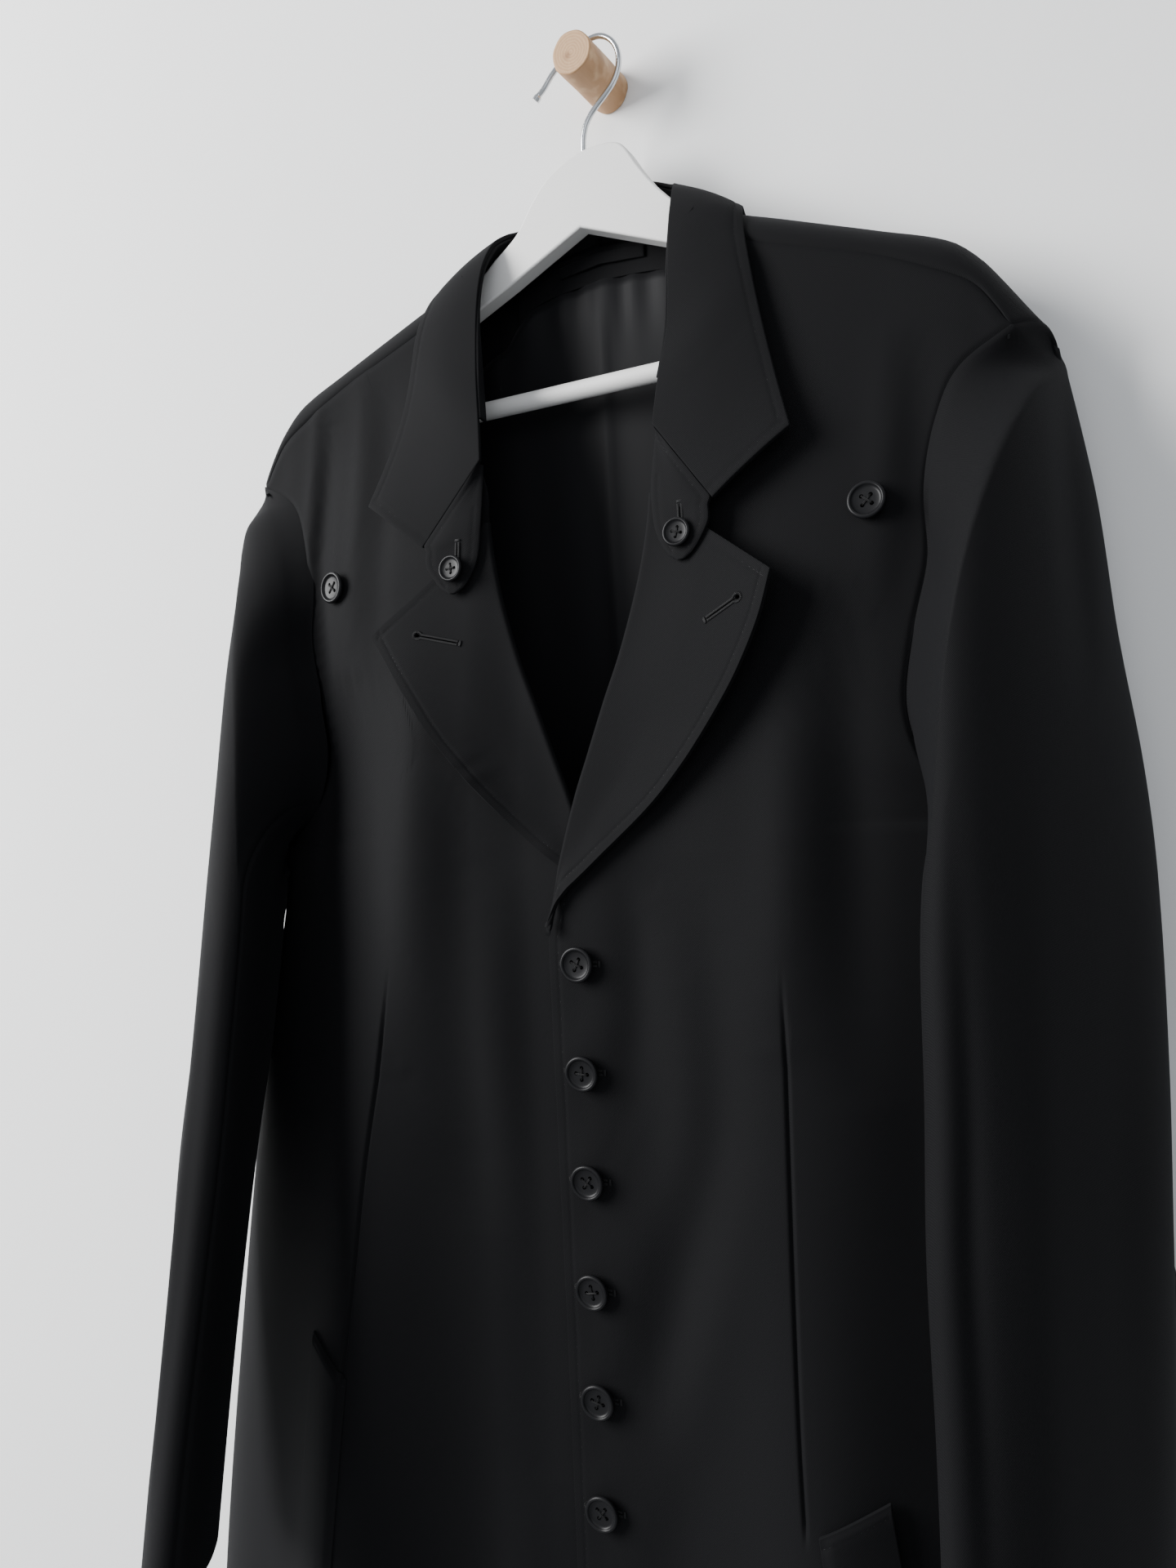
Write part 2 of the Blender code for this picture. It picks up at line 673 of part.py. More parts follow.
def armhole_limit(z, y):
    """How far out the body reaches at a height beside the armhole, from its front to its back."""
    reaches = []
    for first, last in ((105, 180), (180, 265)):
        rows = [row for row in ARMHOLE_ROWS if first <= row[0] <= last]
        rows.sort(key=lambda row: -row[3])
        reaches.append(curve_through(-z, [-row[3] for row in rows], [row[1] for row in rows]))
    return lerp(*reaches, smoothstep((y - armhole(180).y) / ARMHOLE_BLEND + 1))


def in_body(x, y, z, margin):
    half = body("half_width", z) + margin
    if z > UNDERARM_Z:
        half = min(half, armhole_limit(z, y) + margin)
    if abs(x) >= half:
        return False
    return front_y(x, z) - margin < y < back_y(x, z) + margin


def clear_of_body(x, y, z, side, margin):
    """A sleeve's point, moved straight away from the body's inside until it is clear of the cloth."""
    core_x, core_y = BODY_CORE
    if not in_body(x * side, y, z, margin):
        return x, y
    near, far = 1.0, 6.0
    for _ in range(24):
        middle = (near + far) / 2
        if in_body(lerp(core_x, x, middle) * side, lerp(core_y, y, middle), z, margin):
            near = middle
        else:
            far = middle
    return lerp(core_x, x, far), lerp(core_y, y, far)


def sleeve_section(name, z):
    knots = [-value for value in column(SLEEVE_COLUMNS, SLEEVE_ROWS, "z")]
    return curve_through(-z, knots, column(SLEEVE_COLUMNS, SLEEVE_ROWS, name))


def powered(value):
    return abs(value) ** SLEEVE_SQUARENESS * (1 if value > 0 else -1)


def sleeve_oval(turn, z):
    """The hanging sleeve's outer face at an angle from the crown line, on the viewer's right."""
    angle = radians(turn - SLEEVE_FOLD_TURN)
    slant = radians(sleeve_section("slant", z))
    length = -sleeve_section("half_length", z) * powered(cos(angle))
    depth = -sleeve_section("half_depth", z) * powered(sin(angle))
    x = sleeve_section("centre_x", z) + length * cos(slant) + depth * sin(slant)
    y = sleeve_section("centre_y", z) + length * sin(slant) - depth * cos(slant)
    return x, min(y, SLEEVE_WALL_LIMIT)


def sleeve_point(turn, v, side):
    start = armhole(turn)
    away = Vector((start.x - BODY_CORE[0], start.y - BODY_CORE[1], 0)).normalized()
    hidden = (SLEEVE_HIDDEN_REACH - abs(turn % 360 - SLEEVE_HIDDEN_TURN)) / SLEEVE_HIDDEN_FADE
    stand = lerp(SLEEVE_START, SLEEVE_HIDDEN_START, smoothstep(hidden))
    upright = cos(radians(turn))
    start += away * stand - Vector((0, 0, SLEEVE_START * upright * abs(upright)))
    _, hem_y = sleeve_oval(turn, SLEEVE_HEM_Z)
    z_foot = SLEEVE_HEM_Z - SLEEVE_HEM_TILT * (hem_y - sleeve_section("centre_y", SLEEVE_HEM_Z))
    z = lerp(start.z, z_foot, v)
    fan = SLEEVE_FAN * sin(pi * min(max(turn / SLEEVE_FAN_END, 0.0), 1.0))
    x, y = sleeve_oval(turn + fan * (1 - smoothstep((start.z - z) / SLEEVE_FAN_FADE)), z)
    head_drop = lerp(SLEEVE_CROWN_DROP, SLEEVE_HEAD_DROP, (1 - cos(radians(turn))) / 2)
    weight = smoothstep((start.z - z) / head_drop)
    x, y = lerp(start.x, x, weight), lerp(start.y, y, weight)
    margin = lerp(stand, SLEEVE_CLEARANCE, smoothstep((start.z - z) / SLEEVE_CLEARANCE_DROP))
    x, y = clear_of_body(x, y, z, side, margin)
    return Vector((x * side, y, z))


def sleeve_pieces(label, side):
    along = [0.0, 0.025, 0.055, 0.09, 0.13, 0.18, 0.24, 0.31, 0.40, 0.50, 0.61, 0.73, 0.86, 1.0]
    gap = SLEEVE_SEAM_GAP
    upper = [turn for turn in BACK_RIM_TURNS[::-1] if turn > SLEEVE_BACK_SEAM]
    upper += [turn for turn in FRONT_RIM_TURNS[1:] if turn < SLEEVE_FRONT_SEAM]
    under = [turn for turn in FRONT_RIM_TURNS if turn > SLEEVE_FRONT_SEAM]
    under += [turn + 360 for turn in BACK_RIM_TURNS[-2::-1] if turn < SLEEVE_BACK_SEAM]
    pieces = (
        ("upper", [SLEEVE_BACK_SEAM + gap] + upper + [SLEEVE_FRONT_SEAM - gap]),
        ("under", [SLEEVE_FRONT_SEAM + gap] + under + [SLEEVE_BACK_SEAM + 360 - gap]),
    )

    def surface(turn, v):
        return sleeve_point(turn, v, side)

    def shared(turn, v):
        for seam in (SLEEVE_BACK_SEAM, SLEEVE_FRONT_SEAM, SLEEVE_BACK_SEAM + 360):
            if abs(turn - seam) < 2 * gap:
                limits = (seam - SLEEVE_SEAM_REACH, 0.0), (seam + SLEEVE_SEAM_REACH, 1.0)
                return face_out(surface, seam, v, limits, side < 0, SLEEVE_REACH)
        return None

    for part, turns in pieces:
        name = f"sleeve_{part}_{label}"
        cloth_wall(name, surface, turns, along, SLEEVE_CLOTH, flip=side < 0, shared=shared, reach=SLEEVE_REACH)


def lapel(name, side):
    """The turned-back upper front, from the roll line to its outer edge."""
    top = ROLL_AT_LAPEL_TOP
    foot = len(ROLL_ROWS) - 1
    edges = len(LAPEL_EDGE_ROWS) - 1
    end = 1.0 if side > 0 else LEFT_LAPEL_END

    def surface(u, v):
        roll = path_point(ROLL_ROWS, lerp(top, foot - 0.15, v))
        x_edge, z_edge, lift = path_point(LAPEL_EDGE_ROWS, edges * v)
        x = lerp(roll.x, x_edge, u)
        z = lerp(roll.z, z_edge, u)
        rise = lerp(LAPEL_ROLL_LIFT, lift, u**LAPEL_RISE_POWER)
        return Vector((x * side, outer_front_y(x * side, z, side) - rise, z))

    return cloth_wall(name, surface, shares(5), shares(12, 0.0, end), FOLDED_CLOTH, flip=side > 0)


def mirrored_path(rows, at, most):
    """A half path run from the far left end, at -most, round the centre back to the far right."""
    point = path_point(rows, abs(at) * most)
    return mirrored(point, -1 if at < 0 else 1)


def fall_inner(share):
    """Inner edge of the fall: the roll line, then the seam down to the notch."""
    turn = 0.80
    if share <= turn:
        return path_point(ROLL_ROWS, share / turn * ROLL_AT_STAND_SEAM)
    start = path_point(ROLL_ROWS, ROLL_AT_STAND_SEAM)
    return start.lerp(Vector(COLLAR_NOTCH), (share - turn) / (1 - turn))


def collar_fall():
    edges = len(FALL_EDGE_ROWS) - 1

    def surface(u, v):
        share = abs(v)
        inner = fall_inner(share)
        outer = path_point(FALL_EDGE_ROWS, edges * share)
        point = inner.lerp(outer, u)
        swell = 4 * u * (1 - u)
        away = Vector((0.45, -0.75, 0.55)) if share > 0.45 else Vector((0.2, 0.5, 1.0))
        if 0.30 < share < 0.62:
            turn = smoothstep((share - 0.30) / 0.32)
            away = Vector((0.2, 0.5, 1.0)).lerp(Vector((0.45, -0.75, 0.55)), turn)
        point += away.normalized() * COLLAR_SWELL * swell
        return mirrored(point, -1 if v < 0 else 1)

    return cloth_wall("collar_fall", surface, (0.0, 0.12, 0.35, 0.65, 1.0), shares(36, -1.0, 1.0), FOLDED_CLOTH)


def collar_stand():
    """The band inside the collar, from the neck seam up to the fold."""
    most = len(NECK_ROWS) - 1
    under_roll = 0.0040

    def surface(u, v):
        foot = mirrored_path(NECK_ROWS, v, most)
        top = mirrored_path(ROLL_ROWS, v, most)
        top.z -= under_roll
        return foot.lerp(top, u)

    return cloth_wall("collar_stand", surface, (0.0, 1.0), shares(32, -0.97, 0.97), CLOTH)


def tab_edge(name, z):
    knots = [-value for value in column(TAB_COLUMNS, TAB_ROWS, "z")]
    return curve_through(-z, knots, column(TAB_COLUMNS, TAB_ROWS, name))


def tab_lift(x, z):
    """How far the tab's outer face stands off the front, over the lapel it buttons on to."""
    reach = max(0.0, (x - TAB_START_X) / LAPEL_REACH) ** LAPEL_RISE_POWER
    over_lapel = lerp(LAPEL_ROLL_LIFT, LAPEL_EDGE_ROWS[0][2], reach)
    return FOLDED_CLOTH + TAB_GAP + over_lapel * smoothstep((TAB_ROWS[0][0] - z) / TAB_RISE_DROP)


def collar_tab(name, side):
    top, foot = TAB_ROWS[0][0], TAB_ROWS[-1][0]

    def surface(u, v):
        z = lerp(top, foot, v)
        x = lerp(tab_edge("inner_x", z), tab_edge("outer_x", z), u)
        return Vector((x * side, outer_front_y(x * side, z, side) - tab_lift(x, z), z))

    return cloth_wall(name, surface, shares(3), shares(9), FOLDED_CLOTH, flip=side > 0)


def outer_face(panel):
    """A lookup of a panel's outer face as it was built, for what is laid on it."""
    corners = [vertex.co for vertex in panel.data.vertices]
    tree = BVHTree.FromPolygons(corners, [face.vertices for face in panel.data.polygons])

    def raised(x, z, height):
        place_at, normal, _, _ = tree.ray_cast(Vector((x, -1.0, z)), Vector((0, 1, 0)))
        return Vector((x, place_at.y - height / abs(normal.y), z))

    return raised


def pocket_welt(name, side, front):
    raised = outer_face(front)
    top = POCKET_RIGHT_TOP if side > 0 else POCKET_LEFT_TOP
    stand_off = POCKET_RIGHT_STAND_OFF if side > 0 else POCKET_LEFT_STAND_OFF

    def surface(u, v):
        x = top[0] + (POCKET_WIDTH * u + POCKET_LEAN * v) * side
        z = top[1] + POCKET_END_RISE * u - POCKET_LENGTH * v
        return raised(x, z, stand_off + FOLDED_CLOTH)

    return cloth_wall(name, surface, shares(4), shares(9), FOLDED_CLOTH, flip=side > 0)


def back_lining():
    """Lining of the back, with a pleat down its middle."""
    half = [share for share in BACK_ACROSS if share <= LINING_HALF_SHARE]
    across = [-share for share in half[:0:-1]] + half
    rows = [row for row in back_along() if LINING_TOP_ROW <= row <= LINING_FOOT_ROW]

    def surface(across_share, v):
        point = back_inside(across_share, v, LINING_INSET)
        point.y -= PLEAT_DEPTH * max(0.0, 1 - abs(point.x) / PLEAT_HALF_WIDTH)
        return point

    return cloth_wall("back_lining", surface, across, [LINING_START_ROW] + rows, LINING, DARK_SATIN)


def neck_facing():
    half = BACK_ACROSS[:4]
    across = [-share for share in half[:0:-1]] + half

    def surface(across_share, v):
        return back_inside(across_share, v, LINING_INSET)

    return cloth_wall("neck_facing", surface, across, (FACING_TOP_ROW, LINING_START_ROW - FACING_GAP_ROW), LINING)


def neck_loop():
    """The plain tape loop sewn under the back neck."""

    def surface(across_share, v):
        return back_inside(across_share, v, LINING_INSET + LINING + SEAM_GAP)

    return cloth_wall("neck_loop", surface, LOOP_ACROSS, (LOOP_TOP_ROW, LOOP_FOOT_ROW), LOOP_THICKNESS)


def button(name, diameter, centre, normal):
    """A dished button with a raised rim, its back at the centre."""
    radius = diameter / 2
    mesh = bmesh.new()
    verts = [mesh.verts.new((share * radius, 0.0, height * diameter)) for share, height in BUTTON_PROFILE]
    edges = [mesh.edges.new(pair) for pair in zip(verts, verts[1:])]
    bmesh.ops.spin(
        mesh,
        geom=verts + edges,
        axis=(0, 0, 1),
        cent=(0, 0, 0),
        angle=2 * pi,
        steps=BUTTON_SIDES,
        use_merge=True,
    )
    bmesh.ops.remove_doubles(mesh, verts=mesh.verts, dist=1e-6)
    bmesh.ops.recalc_face_normals(mesh, faces=mesh.faces)
    turn = Vector((0, 0, 1)).rotation_difference(normal).to_matrix().to_4x4()
    bmesh.ops.transform(mesh, matrix=turn, verts=mesh.verts)
    data = bpy.data.meshes.new(name)
    mesh.to_mesh(data)
    mesh.free()
    data.shade_smooth()
    data.set_sharp_from_angle(angle=radians(BUTTON_SMOOTH_ANGLE))
    return place(name, data, BLACK_BUTTON, HOOK_FOOT + centre)


def face_normal(face, x, z):
    step = 0.003
    slope_x = (face(x + step, z) - face(x - step, z)) / (2 * step)
    slope_z = (face(x, z + step) - face(x, z - step)) / (2 * step)
    return Vector((slope_x, -1.0, slope_z)).normalized()


def buttons():
    def fronts(side, lift):
        return lambda x, z: outer_front_y(x, z, side) - lift

    for number in range(FRONT_BUTTONS):
        x, z = FRONT_BUTTON_X, FRONT_BUTTON_TOP_Z - FRONT_BUTTON_SPACING * number
        face = fronts(1, BUTTON_SHANK)
        button(f"front_button_{number + 1}", FRONT_BUTTON, Vector((x, face(x, z), z)), face_normal(face, x, z))
    for label, side in (("left", -1), ("right", 1)):
        chest_x, chest_z = CHEST_BUTTON[0] * side, CHEST_BUTTON[1]
        face = fronts(side, BUTTON_SHANK)
        centre = Vector((chest_x, face(chest_x, chest_z), chest_z))
        button(f"chest_button_{label}", FRONT_BUTTON, centre, face_normal(face, chest_x, chest_z))
        tab_x, tab_z = TAB_BUTTON[0] * side, TAB_BUTTON[1]
        face = fronts(side, tab_lift(abs(tab_x), tab_z) + TAB_BUTTON_SHANK)
        centre = Vector((tab_x, face(tab_x, tab_z), tab_z))
        button(f"tab_button_{label}", SMALL_BUTTON, centre, face_normal(face, tab_x, tab_z))


# Half outline of the flat hanger's arm, from the foot of its hump round to the notch below: x and z
HANGER_ARM = (
    (0.0600, -0.0505),
    (0.0720, -0.0590),
    (0.1100, -0.0758),
    (0.1500, -0.0922),
    (0.1840, -0.1052),
    (0.1990, -0.1145),
    (0.2065, -0.1265),
    (0.2055, -0.1400),
    (0.1960, -0.1480),
    (0.1860, -0.1470),
    (0.1860, -0.1245),
    (0.1500, -0.1095),
    (0.1000, -0.0885),
    (0.0500, -0.0675),
)
HANGER_HUMP = (
    (-0.0440, -0.0390),
    (-0.0330, -0.0240),
    (-0.0230, -0.0135),
    (-0.0120, -0.0070),
    (0.0000, -0.0032),
    (0.0120, -0.0026),
    (0.0220, -0.0040),
    (0.0280, -0.0085),
    (0.0360, -0.0215),
    (0.0460, -0.0355),
)
HANGER_NOTCH = (-0.0022, -0.0455)


def hanger_body():
    outline = [*HANGER_ARM, HANGER_NOTCH, *[(-x, z) for x, z in reversed(HANGER_ARM)], *HANGER_HUMP]
    mesh = bmesh.new()
    verts = [mesh.verts.new((x, -HANGER_THICKNESS / 2, z)) for x, z in outline]
    face = mesh.faces.new(verts)
    raised = bmesh.ops.extrude_face_region(mesh, geom=[face])
    moved = [item for item in raised["geom"] if isinstance(item, bmesh.types.BMVert)]
    bmesh.ops.translate(mesh, verts=moved, vec=(0, HANGER_THICKNESS, 0))
    bmesh.ops.recalc_face_normals(mesh, faces=mesh.faces)
    data = bpy.data.meshes.new("hanger_body")
    mesh.to_mesh(data)
    mesh.free()
    piece = place("hanger_body", data, WHITE_PAINTED_WOOD)
    edge = piece.modifiers.new("eased edges", "BEVEL")
    edge.width = HANGER_EDGE
    edge.segments = 1
    edge.limit_method = "ANGLE"
    edge.angle_limit = radians(60)
    return piece


def hanger_bar():
    mesh = bmesh.new()
    bmesh.ops.create_cone(
        mesh,
        cap_ends=True,
        segments=14,
        radius1=BAR_RADIUS,
        radius2=BAR_RADIUS,
        depth=2 * BAR_HALF_LENGTH,
    )
    data = bpy.data.meshes.new("hanger_bar")
    mesh.to_mesh(data)
    mesh.free()
    piece = place("hanger_bar", data, WHITE_PAINTED_WOOD, HOOK_FOOT + Vector((0, 0, BAR_Z)))
    piece.rotation_euler = (0, pi / 2, 0)
    return piece


HOOK_ROUTE = (
    (0.0000, -0.0026),
    (0.0002, 0.0050),
    (0.0020, 0.0125),
    (0.0055, 0.0180),
    (0.0100, 0.0226),
    (0.0156, 0.0272),
    (0.0206, 0.0320),
    (0.0238, 0.0376),
    (0.0251, 0.0440),
    (0.0242, 0.0502),
    (0.0213, 0.0556),
    (0.0168, 0.0595),
    (0.0115, 0.0612),
    (0.0040, 0.0606),
    (-0.0030, 0.0588),
    (-0.0090, 0.0550),
    (-0.0170, 0.0492),
    (-0.0230, 0.0428),
    (-0.0268, 0.0398),
    (-0.0278, 0.0388),
    (-0.0292, 0.0375),
)
HOOK_TIP_POINTS = 2


def hanger_hook():
    curve = bpy.data.curves.new("hanger_hook", "CURVE")
    curve.dimensions = "3D"
    curve.bevel_depth = WIRE_RADIUS
    curve.bevel_resolution = 2
    curve.use_fill_caps = True
    spline = curve.splines.new("POLY")
    spline.points.add(len(HOOK_ROUTE) - 1)
    for point, (x, z) in zip(spline.points, HOOK_ROUTE):
        point.co = (x, 0.0, z, 1.0)
    for point in spline.points[-HOOK_TIP_POINTS:]:
        point.radius = HOOK_TIP_RADIUS / WIRE_RADIUS
    curve.materials.append(finish_of(CHROMED_WIRE))
    hook = bpy.data.objects.new("hanger_hook", curve)
    hook.location = HOOK_FOOT
    COAT.objects.link(hook)
    return hook


def wall_peg():
    mesh = bmesh.new()
    bmesh.ops.create_cone(
        mesh,
        cap_ends=True,
        segments=PEG_SIDES,
        radius1=PEG_WALL_RADIUS,
        radius2=PEG_FRONT_RADIUS,
        depth=PEG_LENGTH,
    )
    data = bpy.data.meshes.new("wall_peg")
    mesh.to_mesh(data)
    mesh.free()
    peg = place("wall_peg", data, PEG_WOOD, Vector((0, -PEG_LENGTH / 2, 0)))
    peg.rotation_euler = (pi / 2, 0, 0)
    edge = peg.modifiers.new("eased edges", "BEVEL")
    edge.width = PEG_EDGE
    edge.segments = 1
    edge.limit_method = "ANGLE"
    edge.angle_limit = radians(60)
    return peg


clear_scene()
COAT = new_collection("coat_on_hanger")
wall_peg()
hanger_hook()
hanger_body()
hanger_bar()
for label, side in (("left", -1), ("right", 1)):
    front = front_panel(f"front_{label}", side)
    back_panel(f"back_{label}", side)
    sleeve_pieces(label, side)
    lapel(f"lapel_{label}", side)
    collar_tab(f"collar_tab_{label}", side)
    pocket_welt(f"pocket_welt_{label}", side, front)
collar_fall()
collar_stand()
back_lining()
neck_facing()
neck_loop()
buttons()
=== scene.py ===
"""The looks of a long black wool coat on a white wooden hanger, hung from a wooden peg in a wall.

Metres, +Z up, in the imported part's frame: the wall is the plane y = 0 and the origin is the centre of
the peg's wall face. The cloth is drawn from the hook's foot, where the wire enters the hanger: x to the
viewer's right, y towards the wall, z up. HOOK_FOOT places it under the peg.

Each piece of cloth starts as a grid of points on the form that the piece hangs in. Folds, seams and
stitch lines move its points, and a solidify modifier gives it the cloth's thickness.
"""

from math import cos, pi, radians, sin

import bmesh
import bpy
import numpy as np
from mathutils import Matrix, Vector


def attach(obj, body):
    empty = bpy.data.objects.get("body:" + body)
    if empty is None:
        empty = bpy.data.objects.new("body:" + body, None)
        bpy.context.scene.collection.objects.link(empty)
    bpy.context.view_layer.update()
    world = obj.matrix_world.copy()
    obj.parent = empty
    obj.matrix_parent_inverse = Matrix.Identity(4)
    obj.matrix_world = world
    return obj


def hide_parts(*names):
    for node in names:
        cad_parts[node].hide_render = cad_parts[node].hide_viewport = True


HOOK_FOOT = np.array((-0.0040, -0.0310, -0.0464))

# Cloth
CLOTH = 0.0018
FOLDED_CLOTH = 0.0024
LINING = 0.0008
LAP_STEP = 0.0036
LAP_START = -0.062
LAP_END = -0.030
FRONT_OVERLAP = 0.017
SIDE_ROUNDNESS = 0.7
BACK_SQUARER = 2.0
SHOULDER_RADIUS = 0.021
SHOULDER_AXIS_Y = -0.001
SHOULDER_DROP = 0.150
SHOULDER_TUCK = 0.07
NECK_POINT_X = 0.070
UNDERARM_Z = -0.388
HEM_Z = -1.130
BODY_CORE = (0.140, -0.010)

# Sewing
TOPSTITCH_INSET = 0.0052
STITCH_PITCH = 0.0029
STITCH_LENGTH = 0.0023
THREAD_RADIUS = 0.00019
THREAD_SUNK = 0.2
STITCH_SINK = 0.00042
TAB_TOPSTITCH_INSET = 0.0042
HOLE_LIP = 0.0015
HOLE_PITCH = 0.00046
HOLE_EYELET = 0.0011
HOLE_THREAD = 0.00024
HOLE_THREAD_GAP = 0.00022
HOLE_THREAD_LIFT = 0.00026


def table(columns, rows):
    """A table's columns by name."""
    return dict(zip(columns, np.array(rows, float).T))


# The coat's form, level by level
BODY = table(
    ("z", "half_width", "side_y", "front_y", "back_y", "fullness"),
    (
        (-0.045, 0.262, -0.004, -0.034, 0.0200, 5.0),
        (-0.160, 0.262, -0.004, -0.040, 0.0205, 4.8),
        (-0.230, 0.256, -0.005, -0.044, 0.0210, 4.6),
        (-0.315, 0.242, -0.006, -0.052, 0.0215, 5.0),
        (-0.388, 0.2315, -0.006, -0.056, 0.0220, 6.0),
        (-0.460, 0.243, -0.007, -0.058, 0.0220, 6.5),
        (-0.560, 0.266, -0.008, -0.059, 0.0230, 6.5),
        (-0.700, 0.292, -0.008, -0.061, 0.0245, 6.0),
        (-0.860, 0.318, -0.008, -0.066, 0.0255, 5.0),
        (-1.130, 0.350, -0.008, -0.076, 0.0265, 4.0),
    ),
)

# Long folds: top and foot, width, and how far each stands out at its middle
FRONT_FOLDS = (
    (0.112, -0.330, 0.150, -1.420, 0.046, 0.024),
    (-0.100, -0.250, -0.070, -0.560, 0.026, 0.007),
    (-0.105, -0.340, -0.243, -1.420, 0.046, 0.024),
    (0.050, -0.350, 0.034, -0.840, 0.024, -0.005),
    (0.172, -0.250, 0.182, -0.620, 0.022, -0.004),
    (-0.070, -0.560, -0.080, -1.420, 0.030, -0.006),
)
BACK_FOLDS = (
    (0.120, -0.280, 0.175, -1.420, 0.040, -0.009),
    (-0.115, -0.260, -0.165, -1.420, 0.042, -0.009),
    (0.050, -0.420, 0.060, -1.300, 0.034, -0.005),
    (-0.045, -0.480, -0.060, -1.350, 0.032, -0.005),
)

# Creases and soft drapes of the fronts: side, width, height and the line each follows in x and z
FRONT_DRAPES = (
    (-1, 0.0060, 0.0022, ((-0.182, -0.100), (-0.187, -0.192), (-0.191, -0.270))),
    (-1, 0.0100, -0.0055,
     ((-0.174, -0.125), (-0.178, -0.190), (-0.180, -0.250), (-0.172, -0.340), (-0.174, -0.420))),
    (-1, 0.0090, 0.0022, ((-0.148, -0.097), (-0.147, -0.179), (-0.149, -0.275))),
    (-1, 0.0090, -0.0016, ((-0.128, -0.110), (-0.126, -0.180), (-0.130, -0.300))),
    (-1, 0.0210, 0.0060, ((-0.098, -0.290), (-0.102, -0.372), (-0.112, -0.520))),
    (-1, 0.0190, -0.0050, ((-0.152, -0.285), (-0.165, -0.370), (-0.182, -0.520))),
    (-1, 0.0170, -0.0034, ((-0.066, -0.350), (-0.074, -0.463), (-0.072, -0.600))),
    (-1, 0.0130, 0.0020, ((-0.045, -0.400), (-0.048, -0.500), (-0.046, -0.640))),
    (1, 0.0170, 0.0040, ((0.121, -0.300), (0.118, -0.401), (0.112, -0.500))),
    (1, 0.0150, -0.0042, ((0.146, -0.270), (0.148, -0.375), (0.149, -0.520))),
    (1, 0.0160, 0.0030,
     ((0.003, -0.660), (0.032, -0.597), (0.053, -0.541), (0.055, -0.480), (0.050, -0.410))),
    (1, 0.0150, -0.0028,
     ((0.020, -0.690), (0.052, -0.620), (0.075, -0.545), (0.078, -0.470), (0.074, -0.400))),
    (1, 0.0180, 0.0030, ((0.010, -0.770), (0.044, -0.693), (0.066, -0.629), (0.090, -0.540))),
    (1, 0.0120, -0.0022, ((0.012, -0.560), (0.028, -0.500), (0.032, -0.440), (0.026, -0.400))),
    (1, 0.0100, 0.0014, ((0.171, -0.140), (0.170, -0.215), (0.163, -0.290))),
    (1, 0.0110, -0.0016, ((0.186, -0.150), (0.184, -0.215), (0.176, -0.300))),
    (1, 0.0200, -0.0030, ((0.040, -0.780), (0.060, -0.880), (0.072, -1.050))),
    (-1, 0.0220, 0.0040, ((-0.040, -0.720), (-0.052, -0.860), (-0.055, -1.060))),
)

# Darts of the fronts: x and z on each side
DARTS = {
    1: table(("x", "z"), ((0.1150, -0.449), (0.1150, -0.560), (0.1150, -0.660), (0.1160, -0.712))),
    -1: table(("x", "z"), ((0.1130, -0.452), (0.1240, -0.510), (0.1350, -0.567), (0.1450, -0.633),
                           (0.1545, -0.688))),
}
DART_SHARE = 0.47
DART_WIDTH = 0.0013
DART_DEPTH = 0.0019
DART_BANK = 0.0007
DART_INNER_BANK = 0.35
DART_LEAN = 0.0055
DART_TOP_FADE = 0.050
DART_FOOT_FADE = 0.010
PLACKET_WIDTH = 0.024
PLACKET_FADE = 0.030
PLACKET_WAVE = 0.0008

RIDGE = table(
    ("x", "z"),
    (
        (0.000, -0.0245),
        (0.045, -0.0300),
        (0.060, -0.0415),
        (0.066, -0.0490),
        (0.070, -0.0530),
        (0.094, -0.0642),
        (0.110, -0.0702),
        (0.132, -0.0787),
        (0.166, -0.0920),
        (0.199, -0.1055),
        (0.212, -0.1165),
        (0.228, -0.1362),
        (0.2424, -0.1575),
    ),
)
SHOULDER_SEAM = table(
    ("x", "z"),
    (
        (0.0700, -0.0700),
        (0.1060, -0.0865),
        (0.1400, -0.0985),
        (0.1660, -0.1080),
        (0.1940, -0.1225),
        (0.2110, -0.1330),
        (0.2200, -0.1450),
        (0.2280, -0.1590),
    ),
)

# Armhole, turning from the crown to the front, the underarm and the back
ARMHOLE = table(
    ("turn", "x", "y", "z"),
    (
        (0, 0.2280, -0.0230, -0.1590),
        (25, 0.2035, -0.0262, -0.1745),
        (45, 0.1930, -0.0300, -0.1980),
        (65, 0.1870, -0.0350, -0.2300),
        (85, 0.1870, -0.0385, -0.2640),
        (105, 0.1790, -0.0425, -0.2980),
        (125, 0.1745, -0.0440, -0.3350),
        (145, 0.1860, -0.0420, -0.3660),
        (165, 0.2130, -0.0285, -0.3840),
        (180, 0.2315, -0.0060, UNDERARM_Z),
        (195, 0.2295, 0.0006, -0.3820),
        (215, 0.2240, 0.0097, -0.3540),
        (240, 0.2200, 0.0137, -0.3080),
        (265, 0.2210, 0.0153, -0.2650),
        (290, 0.2260, 0.0163, -0.2260),
        (315, 0.2340, 0.0180, -0.1900),
        (335, 0.2432, 0.0070, -0.1655),
        (350, 0.2395, -0.0085, -0.1560),
        (360, 0.2280, -0.0230, -0.1590),
    ),
)

